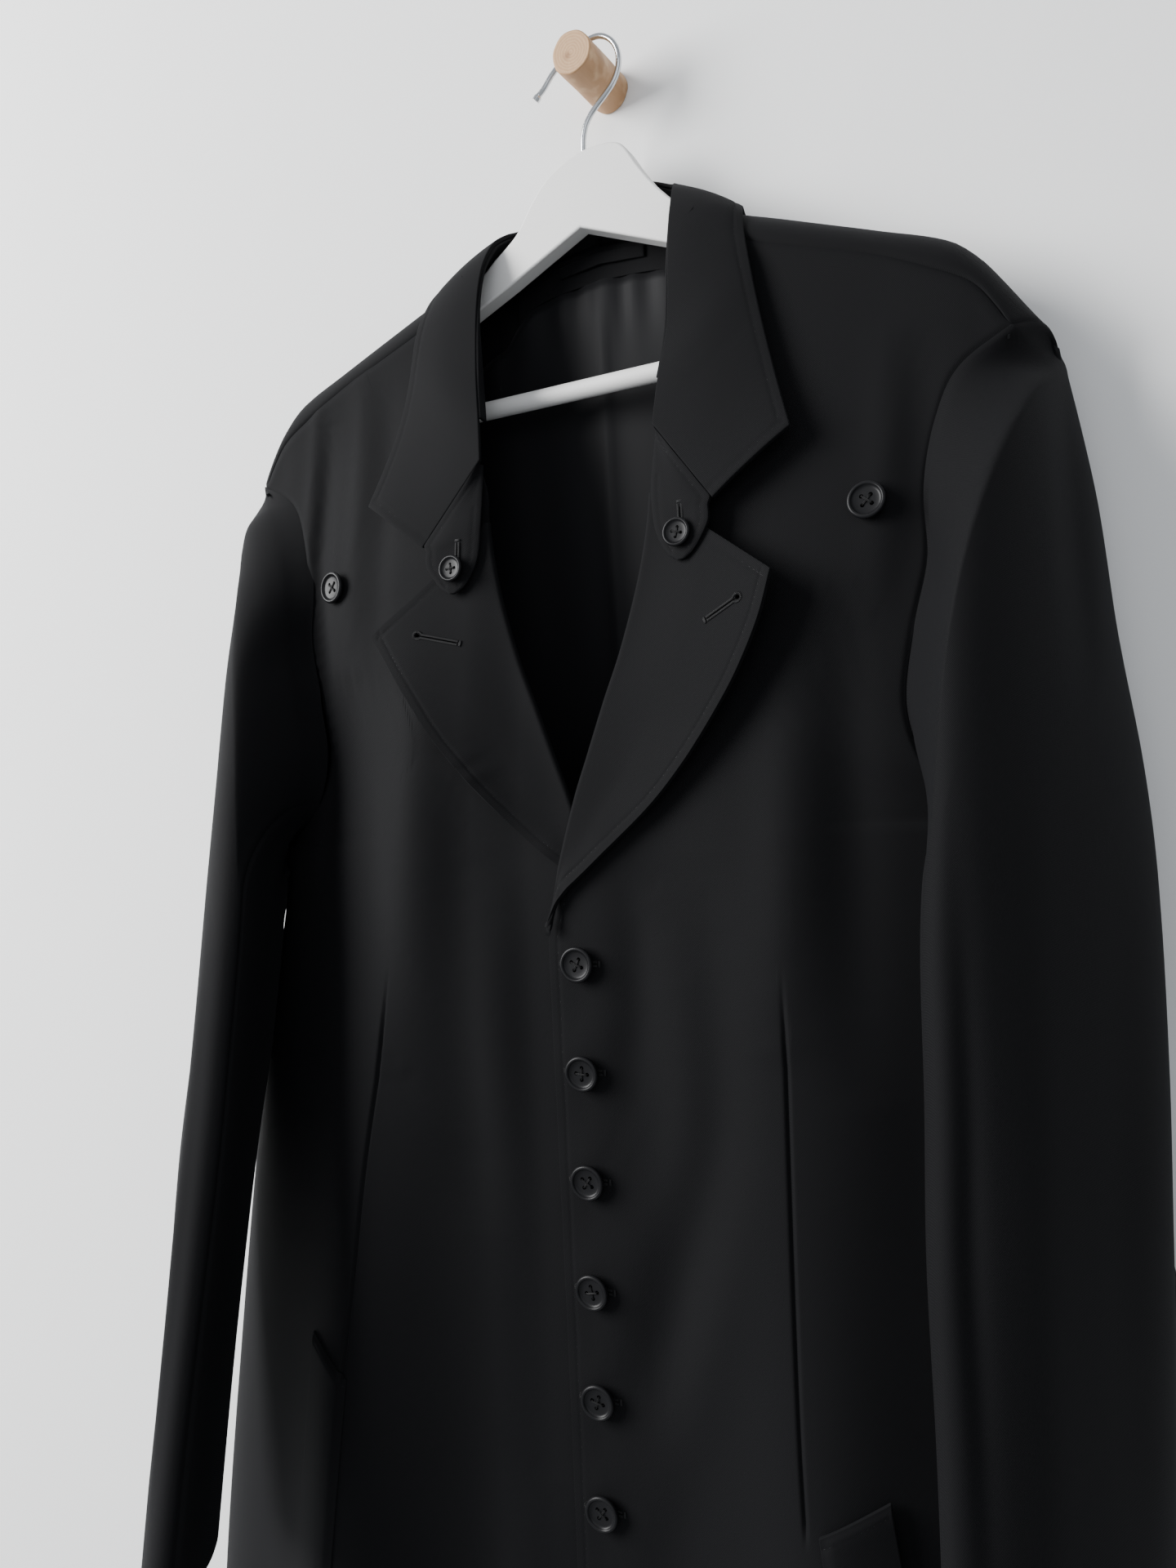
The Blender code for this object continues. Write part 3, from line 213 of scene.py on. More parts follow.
# Sleeve sections: slanted ovals, from the front-inner fold to the elbow side
SLEEVE = table(
    ("z", "centre_x", "centre_y", "half_length", "half_depth", "slant"),
    (
        (-0.150, 0.212, -0.003, 0.042, 0.028, 70),
        (-0.200, 0.219, -0.008, 0.050, 0.027, 68),
        (-0.240, 0.223, -0.013, 0.056, 0.026, 66),
        (-0.300, 0.226, -0.024, 0.062, 0.025, 64),
        (-0.360, 0.230, -0.036, 0.066, 0.024, 60),
        (-0.430, 0.230, -0.054, 0.067, 0.024, 55),
        (-0.500, 0.231, -0.070, 0.065, 0.023, 53),
        (-0.560, 0.231, -0.086, 0.062, 0.022, 51),
        (-0.630, 0.232, -0.100, 0.060, 0.020, 52),
        (-0.700, 0.232, -0.115, 0.058, 0.019, 53),
        (-0.800, 0.230, -0.137, 0.056, 0.018, 54),
    ),
)
SLEEVE_HEM_Z = -0.772
SLEEVE_HEM_TILT = 0.18
SLEEVE_FOLD_TURN = 130
SLEEVE_SQUARENESS = 0.9
SLEEVE_CLEARANCE = 0.0085
SLEEVE_CLEARANCE_DROP = 0.012
SLEEVE_FAN = 38
SLEEVE_FAN_END = 135
SLEEVE_FAN_FADE = 0.16
SLEEVE_WALL_LIMIT = 0.0262
SLEEVE_FRONT_SEAM = 142
SLEEVE_BACK_SEAM = -94
ARMHOLE_BLEND = 0.014
SLEEVE_TUCK = 0.0045
SLEEVE_STAND = 0.0008
SLEEVE_EASE = 0.0011

# How far down each sleeve's head is drawn in to the armhole: at the crown and at the underarm
SLEEVE_HEAD_DROPS = {1: (0.014, 0.045), -1: (0.024, 0.055)}

# How far each sleeve hangs out and ahead of its sections near the head
SLEEVE_SHIFT = table(
    ("z", "out_left", "ahead_left", "out_right", "ahead_right"),
    (
        (-0.150, 0.000, 0.006, 0.000, 0.000),
        (-0.165, 0.006, 0.012, 0.000, 0.001),
        (-0.180, 0.006, 0.010, 0.000, 0.002),
        (-0.200, 0.002, 0.004, 0.000, 0.002),
        (-0.220, 0.000, 0.001, 0.000, 0.002),
        (-0.280, 0.001, 0.001, 0.000, 0.001),
        (-0.340, 0.001, 0.000, 0.000, 0.000),
        (-0.420, 0.001, 0.000, 0.002, 0.000),
        (-0.800, 0.000, 0.000, 0.000, 0.000),
    ),
)

# Soft creases of the hanging sleeves: side, turn and share of the length at the top and at the foot,
# width in degrees of turn, and height
SLEEVE_CREASES = (
    (1, 12, 0.00, 34, 0.26, 9, -0.0022),
    (1, 104, 0.16, 92, 0.95, 9, -0.0030),
    (1, 70, 0.20, 62, 0.98, 14, 0.0022),
    (1, 30, 0.35, 24, 0.90, 16, -0.0018),
    (1, -30, 0.25, -44, 0.90, 16, -0.0022),
    (-1, 14, 0.00, 30, 0.22, 9, -0.0020),
    (-1, 60, 0.18, 66, 0.92, 12, -0.0022),
    (-1, 96, 0.28, 88, 0.96, 10, 0.0020),
    (-1, 20, 0.30, 14, 0.86, 15, -0.0016),
    (-1, -36, 0.30, -48, 0.92, 16, -0.0020),
)

# Roll line of collar and lapel, from the centre back round the neck and down to the first button
ROLL = np.array(
    (
        (0.0000, 0.0190, -0.0140),
        (0.0300, 0.0170, -0.0190),
        (0.0480, 0.0100, -0.0285),
        (0.0540, 0.0000, -0.0340),
        (0.0570, -0.0110, -0.0430),
        (0.0590, -0.0210, -0.0600),
        (0.0595, -0.0280, -0.0850),
        (0.0590, -0.0330, -0.1230),
        (0.0545, -0.0405, -0.1570),
        (0.0517, -0.0462, -0.1900),
        (0.0500, -0.0500, -0.2220),
        (0.0440, -0.0500, -0.2550),
        (0.0335, -0.0530, -0.2910),
        (0.0230, -0.0560, -0.3180),
        (0.0120, -0.0580, -0.3470),
        (0.0040, -0.0590, -0.3680),
        (-0.0060, -0.0600, -0.4000),
        (-0.0170, -0.0600, -0.4400),
    )
)
ROLL_AT_STAND_SEAM = 8.6
ROLL_AT_LAPEL_TOP = 9.7

# Outer edge of the collar's fall, from the centre back to its point
FALL_EDGE = np.array(
    (
        (0.0000, 0.0275, -0.0640),
        (0.0350, 0.0278, -0.0690),
        (0.0680, 0.0278, -0.0780),
        (0.0900, 0.0245, -0.0755),
        (0.0940, 0.0000, -0.0608),
        (0.0980, -0.0150, -0.0670),
        (0.1020, -0.0250, -0.0870),
        (0.1080, -0.0300, -0.1220),
        (0.1160, -0.0370, -0.1530),
        (0.1275, -0.0485, -0.1920),
    )
)
# Where the cross lines of the fall start on the roll line, up to the start of its gorge edge
FALL_RULES = table(
    ("share", "roll"),
    (
        (0.000, 0.0),
        (0.222, 1.5),
        (0.333, 2.3),
        (0.444, 3.1),
        (0.556, 4.5),
        (0.667, 6.3),
        (0.800, ROLL_AT_STAND_SEAM),
    ),
)
COLLAR_SWELL = 0.0022
COLLAR_WAVE = 0.0010
STAND_BELOW_FOLD = 0.0030
COLLAR_NOTCH = np.array((0.0873, -0.0540, -0.2224))

# Neck seam under the stand
NECK = np.array(
    (
        (0.0000, 0.0176, -0.0470),
        (0.0380, 0.0158, -0.0505),
        (0.0580, 0.0100, -0.0505),
        (0.0650, 0.0000, -0.0480),
        (0.0660, -0.0110, -0.0560),
        (0.0650, -0.0190, -0.0740),
        (0.0635, -0.0220, -0.0950),
        (0.0600, -0.0260, -0.1270),
        (0.0565, -0.0310, -0.1600),
    )
)

# Outer edge of the lapel, from its peak to the first button: x, z and its lift off the front
LAPEL_EDGE = np.array(
    (
        (0.1185, -0.2630, 0.0165),
        (0.1115, -0.2860, 0.0160),
        (0.1000, -0.3095, 0.0150),
        (0.0870, -0.3290, 0.0140),
        (0.0700, -0.3510, 0.0125),
        (0.0500, -0.3715, 0.0105),
        (0.0285, -0.3890, 0.0080),
        (0.0095, -0.4045, 0.0060),
        (-0.0055, -0.4170, 0.0045),
        (-0.0135, -0.4290, 0.0035),
        (-0.0165, -0.4385, 0.0030),
    )
)
# The left lapel's edge hangs straighter than the right one's
LEFT_LAPEL_EDGE = np.array(
    (
        (0.1199, -0.2690, 0.0165),
        (0.1085, -0.2851, 0.0160),
        (0.0906, -0.3097, 0.0150),
        (0.0755, -0.3310, 0.0140),
        (0.0594, -0.3510, 0.0125),
        (0.0447, -0.3681, 0.0110),
        (0.0277, -0.3863, 0.0085),
        (0.0067, -0.4042, 0.0065),
        (-0.0055, -0.4170, 0.0045),
        (-0.0135, -0.4290, 0.0035),
        (-0.0165, -0.4385, 0.0030),
    )
)
# Where the cross lines of a lapel start on the roll line
LAPEL_RULES = (ROLL_AT_LAPEL_TOP, 10.9, 11.9, 12.7, 13.4, 14.35, 15.2, 15.85, 16.3, 16.62, 16.86)
LAPEL_ROLL_LIFT = 0.0030
LAPEL_RISE_POWER = 1.6
LAPEL_ROLL_RADIUS = 0.0022
LAPEL_CREASE_RADIUS = 0.0003
LAPEL_TAIL = 0.010
LAPEL_SHORT_TAIL = 0.0004
LAPEL_TUCK = 0.009
LAPEL_UNDER_LIFT = 0.0003
LAPEL_FOOT = 0.14
LAPEL_RIPPLE = 0.00030
LAPEL_WAVE = 0.0016
FRONT_NECK_STEP = 0.0045
FRONT_NECK_FADE = 0.040
LEFT_LAPEL_END = 0.73
RIGHT_LAPEL_END = 1.0

# Tab at the front end of the stand: its inner and outer edge
TAB = table(
    ("z", "inner_x", "outer_x"),
    (
        (-0.1790, 0.0530, 0.0575),
        (-0.1920, 0.0525, 0.0650),
        (-0.2060, 0.0520, 0.0738),
        (-0.2200, 0.0525, 0.0828),
        (-0.2320, 0.0540, 0.0850),
        (-0.2410, 0.0575, 0.0805),
        (-0.2475, 0.0620, 0.0755),
        (-0.2505, 0.0660, 0.0715),
    ),
)
TAB_START_X = 0.047
LAPEL_REACH = 0.0715
TAB_GAP = 0.0006
TAB_RISE_DROP = 0.040

# Slanted pocket welts: upper inner corner, and the gap behind each, below 0 where it is sewn down
POCKETS = {1: ((0.1235, -0.7080), 0.0016), -1: ((-0.1500, -0.6860), -0.0014)}
POCKET_WIDTH = 0.0320
POCKET_END_RISE = 0.0180
POCKET_LENGTH = 0.170
POCKET_LEAN = 0.022
POCKET_SWELL = 0.0012

# Lining, neck facing and loop: how deep each lies inside the back's outer face
LINING_DEPTH = 0.0030
FACING_DEPTH = 0.0038
LOOP_DEPTH = 0.0052
LOOP_THICKNESS = 0.0012
LOOP_SLACK = 0.0012
PLEAT_X = -0.004
PLEAT_DEPTH = 0.0034
PLEAT_WIDTH = 0.0045

# Buttons and buttonholes
FRONT_BUTTON = 0.0190
SMALL_BUTTON = 0.0150
FRONT_BUTTON_X = 0.001
FRONT_BUTTON_TOP_Z = -0.4537
FRONT_BUTTON_SPACING = 0.0563
CHEST_BUTTON = (0.1611, -0.2341)
TAB_BUTTON = (0.0680, -0.2371)
# The left chest button evens out the crease that it is sewn on
LEFT_CHEST_FACE = np.array((-0.20, -0.98, 0.0))
FRONT_BUTTON_TURNS = (0.35, 0.75, 0.20, 0.95, 0.55, 0.15)
FRONT_BUTTON_LIFT = 0.0012
CHEST_BUTTON_LIFT = 0.0010
TAB_BUTTON_LIFT = 0.0016
FRONT_HOLE_ENDS = (-0.0085, 0.0112)
TAB_HOLE_ENDS = (-0.2225, -0.2400)
TAB_HOLE_X = {1: 0.0694, -1: 0.0650}
TAB_HOLE_LEAN = 0.0006
TAB_HOLE_LIFT = 0.0010
LAPEL_HOLES = {1: ((0.0835, -0.2820), (0.1010, -0.2750)), -1: ((0.0655, -0.2785), (0.0905, -0.2715))}

# Hanger, hook and peg
HANGER_THICKNESS = 0.0115
BAR_RADIUS = 0.0053
BAR_Z = -0.1347
BAR_HALF_LENGTH = 0.1857
WIRE_RADIUS = 0.00165
HOOK_TIP_RADIUS = 0.0023
PEG_LENGTH = 0.048
PEG_RADIUS = 0.0120


def smooth(value):
    """An even start and stop between 0 and 1."""
    value = np.clip(value, 0.0, 1.0)
    return value * value * (3 - 2 * value)


def lerp(start, end, share):
    return start + (end - start) * share


def curve(at, knots, values):
    """A smooth curve through the values at rising knots, held at its end values past them."""
    at, knots, values = (np.asarray(item, float) for item in (at, knots, values))
    last = len(knots) - 1
    i = np.clip(np.searchsorted(knots, at) - 1, 0, last - 1)
    order = np.arange(last + 1)
    before, after = np.maximum(order - 1, 0), np.minimum(order + 1, last)
    slope = (values[after] - values[before]) / (knots[after] - knots[before])
    step = knots[i + 1] - knots[i]
    share = np.clip((at - knots[i]) / step, 0.0, 1.0)
    h00 = (1 + 2 * share) * (1 - share) ** 2
    h10 = share * (1 - share) ** 2
    h01 = share**2 * (3 - 2 * share)
    h11 = share**2 * (share - 1)
    return h00 * values[i] + h10 * step * slope[i] + h01 * values[i + 1] + h11 * step * slope[i + 1]


def path(rows, at):
    """Points of a path at row numbers, which may lie between two rows; the last axis holds the point."""
    order = np.arange(len(rows))
    return np.stack([curve(at, order, rows[:, axis]) for axis in range(rows.shape[1])], axis=-1)


def body(name, z):
    return curve(-z, -BODY["z"], BODY[name])


def ridge_z(x):
    return curve(x, RIDGE["x"], RIDGE["z"])


def shoulder_seam(x):
    """Where the shoulder seam lies round the shoulder, as y, z and the turn round it."""
    drop = np.minimum((ridge_z(x) - curve(x, SHOULDER_SEAM["x"], SHOULDER_SEAM["z"])) / SHOULDER_RADIUS, 1.0)
    turn = np.arccos(1.0 - drop)
    return SHOULDER_AXIS_Y - SHOULDER_RADIUS * np.sin(turn), ridge_z(x) - SHOULDER_RADIUS * drop, turn


def armhole(turn):
    """The armhole's seam at an angle from the crown, on the viewer's right."""
    turn = np.asarray(turn, float) % 360
    return [curve(turn, ARMHOLE["turn"], ARMHOLE[axis]) for axis in "xyz"]


def fold_height(folds, x, z):
    """How far the long folds of one face lift the cloth."""
    height = 0.0
    for top_x, top_z, foot_x, foot_z, width, depth in folds:
        along = np.clip((z - top_z) / (foot_z - top_z), 0.0, 1.0)
        across = (x - lerp(top_x, foot_x, along)) / width
        height = height + depth * np.sin(pi * along) * np.exp(-(across**2))
    return height


def path_height(x, z, width, height, line):
    """A soft ridge or trough that follows a line and fades at both of its ends."""
    corners = np.array(line)
    knots = np.linspace(0, len(line) - 1, 40)
    spine = path(corners, knots)
    best = np.full(np.shape(x), 1e9)
    share = np.zeros(np.shape(x))
    for (px, pz), at in zip(spine, knots / knots[-1]):
        distance = (x - px) ** 2 + (z - pz) ** 2
        nearer = distance < best
        best = np.where(nearer, distance, best)
        share = np.where(nearer, at, share)
    return height * np.sin(pi * np.clip(share, 0.0, 1.0)) ** 0.8 * np.exp(-best / width**2)


def dart_x(side, z):
    return curve(-z, -DARTS[side]["z"], DARTS[side]["x"])


def front_detail(x, z, side):
    """The creases, drapes and dart of one front, as a height off its form."""
    height = np.zeros(np.shape(x))
    for drape_side, width, rise, line in FRONT_DRAPES:
        if drape_side == side:
            height += path_height(x, z, width, rise, line)
    dart = DARTS[side]
    off = np.abs(x) - dart_x(side, z)
    ends = smooth((dart["z"][0] - z) / DART_TOP_FADE) * smooth((z - dart["z"][-1] + 0.004) / DART_FOOT_FADE)
    groove = np.exp(-((off / DART_WIDTH) ** 2))
    bank = np.where(off > 0, np.exp(-off / DART_LEAN), DART_INNER_BANK * np.exp(off / DART_LEAN))
    height += ends * (DART_BANK * bank - DART_DEPTH * groove)
    buttoned = smooth((PLACKET_WIDTH - np.abs(x)) / PLACKET_FADE) * smooth((ROLL[-1, 2] - z) / PLACKET_FADE)
    between = (z - FRONT_BUTTON_TOP_Z) / FRONT_BUTTON_SPACING * 2 * pi
    return height + PLACKET_WAVE * buttoned * np.sin(between + 0.6)


def section_share(x, z, squarer=1.0):
    """1 in the middle of a section, falling to 0 at the side seam."""
    share = np.minimum(np.abs(x) / body("half_width", z), 1.0)
    return (1 - share ** (body("fullness", z) * squarer)) ** SIDE_ROUNDNESS


def front_y(x, z):
    """The fronts' form without their lap, creases and drapes."""
    share = section_share(x, z)
    side = body("side_y", z)
    y = side + (body("front_y", z) - side - fold_height(FRONT_FOLDS, x, z)) * share
    seam_y, seam_height, _ = shoulder_seam(np.maximum(np.abs(x), NECK_POINT_X))
    return lerp(seam_y, y, smooth((seam_height - z) / SHOULDER_DROP))


def back_y(x, z):
    share = section_share(x, z, BACK_SQUARER)
    side = body("side_y", z)
    return side + (body("back_y", z) - side + fold_height(BACK_FOLDS, x, z)) * share


def plain_front_y(x, z, side):
    """The form of the front on one side: the viewer's left one runs under the right one."""
    y = front_y(x, z)
    if side < 0:
        y = y + LAP_STEP * smooth((x - LAP_START) / (LAP_END - LAP_START))
    return y


def outer_front_y(x, z, side):
    """The front's outer face with its creases and drapes."""
    return plain_front_y(x, z, side) - front_detail(x, z, side)


def front_edge(z):
    """Inner edge of a front: its neck seam, its roll line and then its buttoned edge."""
    neck_x = curve(-z, -NECK[4:, 2], NECK[4:, 0] + FRONT_NECK_STEP)
    roll_x = curve(-z, -ROLL[5:, 2], ROLL[5:, 0])
    upper = lerp(neck_x, roll_x, smooth((NECK[-1, 2] - z) / FRONT_NECK_FADE))
    return np.where(z < ROLL[-1, 2], -FRONT_OVERLAP, upper)


def spread(*stretches):
    """Rising shares from (start, end, count) stretches, each finer or coarser than the next."""
    parts = [np.linspace(start, end, count, endpoint=False) for start, end, count in stretches]
    return np.concatenate(parts + [[stretches[-1][1]]])


def points_at(x, y, z, side=1):
    return np.stack(np.broadcast_arrays(x * side, y, z), axis=-1).astype(float)


def front_points(side):
    """A front from its edge to the side seam and from the shoulder to the hem."""
    near_dart, past_dart = DART_SHARE - 0.02, DART_SHARE + 0.03
    across = spread((0, 0.03, 12), (0.03, near_dart, 44), (near_dart, past_dart, 26), (past_dart, 0.96, 36),
                    (0.96, 1, 8))
    down = spread((0, 0.06, 8), (0.06, 1, 70), (1, 1.985, 170), (1.985, 2, 4))
    s, v = np.meshgrid(across, down)
    level = np.maximum(v, 1.0) - 1.0
    low_z = lerp(UNDERARM_Z, HEM_Z, level)
    edge_x, half = front_edge(low_z), body("half_width", low_z)
    dart_at = (dart_x(side, low_z) - edge_x) / (half - edge_x)
    tent = np.where(s < DART_SHARE, s / DART_SHARE, (1 - s) / (1 - DART_SHARE))
    u = s + (dart_at - DART_SHARE) * tent * smooth(level / 0.03)
    low_x = lerp(edge_x, half, u)

    top = np.minimum(v, 1.0)
    top_z = shoulder_seam(NECK_POINT_X)[1]
    inner_z = lerp(top_z, UNDERARM_Z, top)
    rim_x, rim_y, rim_z = armhole(180.0 * top)
    crown_x = armhole(0)[0]
    fade = np.maximum(0.0, 1 - top / 0.35) ** 2
    arched = shoulder_seam(lerp(NECK_POINT_X, crown_x, u))[1] - lerp(top_z, shoulder_seam(crown_x)[1], u)
    high_x = lerp(front_edge(inner_z), rim_x, u)
    high_z = lerp(inner_z, rim_z, u) + arched * fade
    high_y = outer_front_y(high_x * side, high_z, side)
    high_y = high_y + (rim_y - plain_front_y(rim_x * side, rim_z, side)) * u**6

    upper = v < 1.0
    x = np.where(upper, high_x, low_x)
    z = np.where(upper, high_z, low_z)
    y = np.where(upper, high_y, outer_front_y(low_x * side, low_z, side))
    return points_at(x, y, z, side)


BACK_NECK_X = (0.0, 0.024, 0.045, 0.058, 0.066, 0.0700, 0.0715)
BACK_NECK_TURN = (90, 90, 90, 66, 30, 0, -45)
BACK_SHOULDER_X = (0.0735, 0.098, 0.130, 0.162, 0.192, 0.213)
BACK_COLUMNS = len(BACK_NECK_X) + len(BACK_SHOULDER_X)
BACK_RIM_TURN = -52.0


def back_form(u, v, side):
    """The back's outer face: v runs 0 to 1 round the shoulder, 1 to 2 to the underarm, 2 to 3 to the hem."""
    at = u * BACK_COLUMNS
    columns = np.arange(BACK_COLUMNS + 1)
    x_top = curve(at, columns, (*BACK_NECK_X, *BACK_SHOULDER_X, armhole(0)[0]))
    past = at - len(BACK_NECK_X) + 1
    seam = -np.degrees(shoulder_seam(x_top)[2])
    at_neck = np.interp(at, columns[: len(BACK_NECK_X)], BACK_NECK_TURN)
    start = np.where(past > 0, lerp(BACK_NECK_TURN[-1], seam, np.clip(past, 0.0, 1.0)), at_neck)
    edge = np.maximum(0.0, at - BACK_COLUMNS + 1) ** 2
    rim_top_x = armhole(BACK_RIM_TURN)[0]

    over = np.minimum(v, 1.0)
    turn = np.radians(lerp(start, 90, over))
    round_y = SHOULDER_AXIS_Y + SHOULDER_RADIUS * np.sin(turn)
    round_z = ridge_z(x_top) - SHOULDER_RADIUS * (1 - np.cos(turn))
    over_rim = armhole(BACK_RIM_TURN * over)
    over_x, over_y, over_z = (lerp(own, rim, edge) for own, rim in zip((x_top, round_y, round_z), over_rim))

    down = np.clip(v - 1.0, 0.0, 1.0)
    rim_x, rim_y, rim_z = armhole(BACK_RIM_TURN - (180 + BACK_RIM_TURN) * down)
    section = np.minimum(1.0, 1.0 - (1.0 - u) ** 1.25)
    mid_z = lerp(lerp(ridge_z(x_top) - SHOULDER_RADIUS, UNDERARM_Z, down), rim_z, edge)
    share = lerp(x_top, rim_top_x, edge) / rim_top_x
    mid_x = lerp(share, section, smooth(down)) * rim_x
    mid_y = lerp(SHOULDER_AXIS_Y + SHOULDER_RADIUS, back_y(mid_x * side, mid_z), smooth(down * 4))
    mid_y = mid_y + (rim_y - mid_y) * edge

    low_z = lerp(UNDERARM_Z, HEM_Z, np.clip(v - 2.0, 0.0, 1.0))
    low_x = section * body("half_width", low_z)
    low_y = back_y(low_x * side, low_z)

    pick = [v < 1.0, v < 2.0]
    x = np.select(pick, [over_x, mid_x], low_x)
    y = np.select(pick, [over_y, mid_y], low_y)
    z = np.select(pick, [over_z, mid_z], low_z)
    return points_at(x, y, z, side)


def back_points(side):
    across = spread((0, 0.02, 5), (0.02, 0.93, 56), (0.93, 1, 12))
    down = spread((-SHOULDER_TUCK, 0.10, 12), (0.10, 1, 20), (1, 2, 40), (2, 2.985, 64), (2.985, 3, 4))
    u, v = np.meshgrid(across, down)
    return back_form(u, v, side)


def armhole_limit(z, y):
    """How far out the front or the back reaches at a height beside the armhole."""
    turns = ARMHOLE["turn"]
    limits = []
    for first, last in ((105, 180), (180, 265)):
        rows = np.flatnonzero((turns >= first) & (turns <= last))
        rows = rows[np.argsort(-ARMHOLE["z"][rows])]
        limits.append(curve(-z, -ARMHOLE["z"][rows], ARMHOLE["x"][rows]))
    return lerp(*limits, smooth((y - armhole(180)[1]) / ARMHOLE_BLEND + 1))


def in_body(x, y, z, margin):
    """Whether points lie inside the body's cloth, or within a margin of it."""
    half = body("half_width", z) + margin
    half = np.where(z > UNDERARM_Z, np.minimum(half, armhole_limit(z, y) + margin), half)
    inside = (front_y(x, z) - margin < y) & (y < back_y(x, z) + margin)
    return inside & (np.abs(x) < half)


def clear_of_body(x, y, z, side, margin):
    """Sleeve points moved straight away from the body's inside until they are clear of the cloth."""
    core_x, core_y = BODY_CORE
    near, far = np.ones(x.shape), np.full(x.shape, 6.0)
    blocked = in_body(x * side, y, z, margin)
    for _ in range(22):
        middle = (near + far) / 2
        inside = in_body(lerp(core_x, x, middle) * side, lerp(core_y, y, middle), z, margin)
        near, far = np.where(inside, middle, near), np.where(inside, far, middle)
    return np.where(blocked, lerp(core_x, x, far), x), np.where(blocked, lerp(core_y, y, far), y)


def sleeve_section(name, z):
    return curve(-z, -SLEEVE["z"], SLEEVE[name])


def sleeve_oval(turn, z):
    """Where a turn round the sleeve lies on its slanted section at a height."""
    angle = np.radians(turn - SLEEVE_FOLD_TURN)
    slant = np.radians(sleeve_section("slant", z))
    ways = np.cos(angle), np.sin(angle)
    long_way, short_way = (np.sign(way) * np.abs(way) ** SLEEVE_SQUARENESS for way in ways)
    length = -sleeve_section("half_length", z) * long_way
    depth = -sleeve_section("half_depth", z) * short_way
    x = sleeve_section("centre_x", z) + length * np.cos(slant) + depth * np.sin(slant)
    y = sleeve_section("centre_y", z) + length * np.sin(slant) - depth * np.cos(slant)
    return x, np.minimum(y, SLEEVE_WALL_LIMIT)


def sleeve_detail(turn, v, side):
    """The creases of a sleeve and the ease sewn in along its head, as a height off its form."""
    height = 0.0
    for crease_side, top_turn, top, foot_turn, foot, width, rise in SLEEVE_CREASES:
        if crease_side != side:
            continue
        share = np.clip((v - top) / (foot - top), 0.0, 1.0)
        off = (turn - lerp(top_turn, foot_turn, share)) / width
        height = height + rise * np.sin(pi * share) * np.exp(-(off**2))
    ease = np.exp(-((v - 0.012) / 0.010) ** 2) * np.cos(radians(1) * np.clip(turn, -90, 90)) ** 2
    return height + SLEEVE_EASE * ease


def sleeve_points(side, start_turn, end_turn, count):
    """Part of a sleeve between two turns, from the armhole to the cuff."""
    across = spread((0, 0.03, 5), (0.03, 0.97, count), (0.97, 1, 5))
    down = spread((0, 0.03, 10), (0.03, 0.30, 56), (0.30, 0.99, 84), (0.99, 1, 4))
    share, v = np.meshgrid(across, down)
    turn = lerp(start_turn, end_turn, share)
    start_x, start_y, start_z = armhole(turn)
    away_x, away_y = start_x - BODY_CORE[0], start_y - BODY_CORE[1]
    reach = np.hypot(away_x, away_y)
    start_x, start_y = start_x + away_x / reach * SLEEVE_STAND, start_y + away_y / reach * SLEEVE_STAND
    hem_y = sleeve_oval(turn, SLEEVE_HEM_Z)[1]
    z_foot = SLEEVE_HEM_Z - SLEEVE_HEM_TILT * (hem_y - sleeve_section("centre_y", SLEEVE_HEM_Z))
    z = lerp(start_z, z_foot, v)
    fan = SLEEVE_FAN * np.sin(pi * np.clip(turn / SLEEVE_FAN_END, 0.0, 1.0))
    x, y = sleeve_oval(turn + fan * (1 - smooth((start_z - z) / SLEEVE_FAN_FADE)), z)
    label = "left" if side < 0 else "right"
    x = x + curve(-z, -SLEEVE_SHIFT["z"], SLEEVE_SHIFT[f"out_{label}"])
    y = y - curve(-z, -SLEEVE_SHIFT["z"], SLEEVE_SHIFT[f"ahead_{label}"])
    crown_drop, low_drop = SLEEVE_HEAD_DROPS[side]
    head_drop = lerp(crown_drop, low_drop, (1 - np.cos(np.radians(turn))) / 2)
    risen = np.clip((start_z - z) / head_drop, 0.0, 1.0)
    weight = np.sqrt(1 - (1 - risen) ** 2) if side < 0 else smooth(risen)
    x, y = lerp(start_x, x, weight), lerp(start_y, y, weight)
    margin = lerp(SLEEVE_STAND, SLEEVE_CLEARANCE, smooth((start_z - z) / SLEEVE_CLEARANCE_DROP))
    x, y = clear_of_body(x, y, z, side, margin)
    points = points_at(x, y, z, side)
    centre = points_at(sleeve_section("centre_x", z), sleeve_section("centre_y", z), z, side)
    out = normals(points, points - centre)
    return points + out * sleeve_detail(turn, v, side)[..., None], points - centre


def sleeve_tuck(points, away, side):
    """Adds a row to the sleeve's top that lies inside the body's cloth."""
    inward = points[:1] - points_at(*BODY_CORE, 0.0, side)
    inward[..., 2] = 0
    inward /= np.linalg.norm(inward, axis=2, keepdims=True)
    return np.concatenate([points[:1] - inward * SLEEVE_TUCK, points]), np.concatenate([away[:1], away])


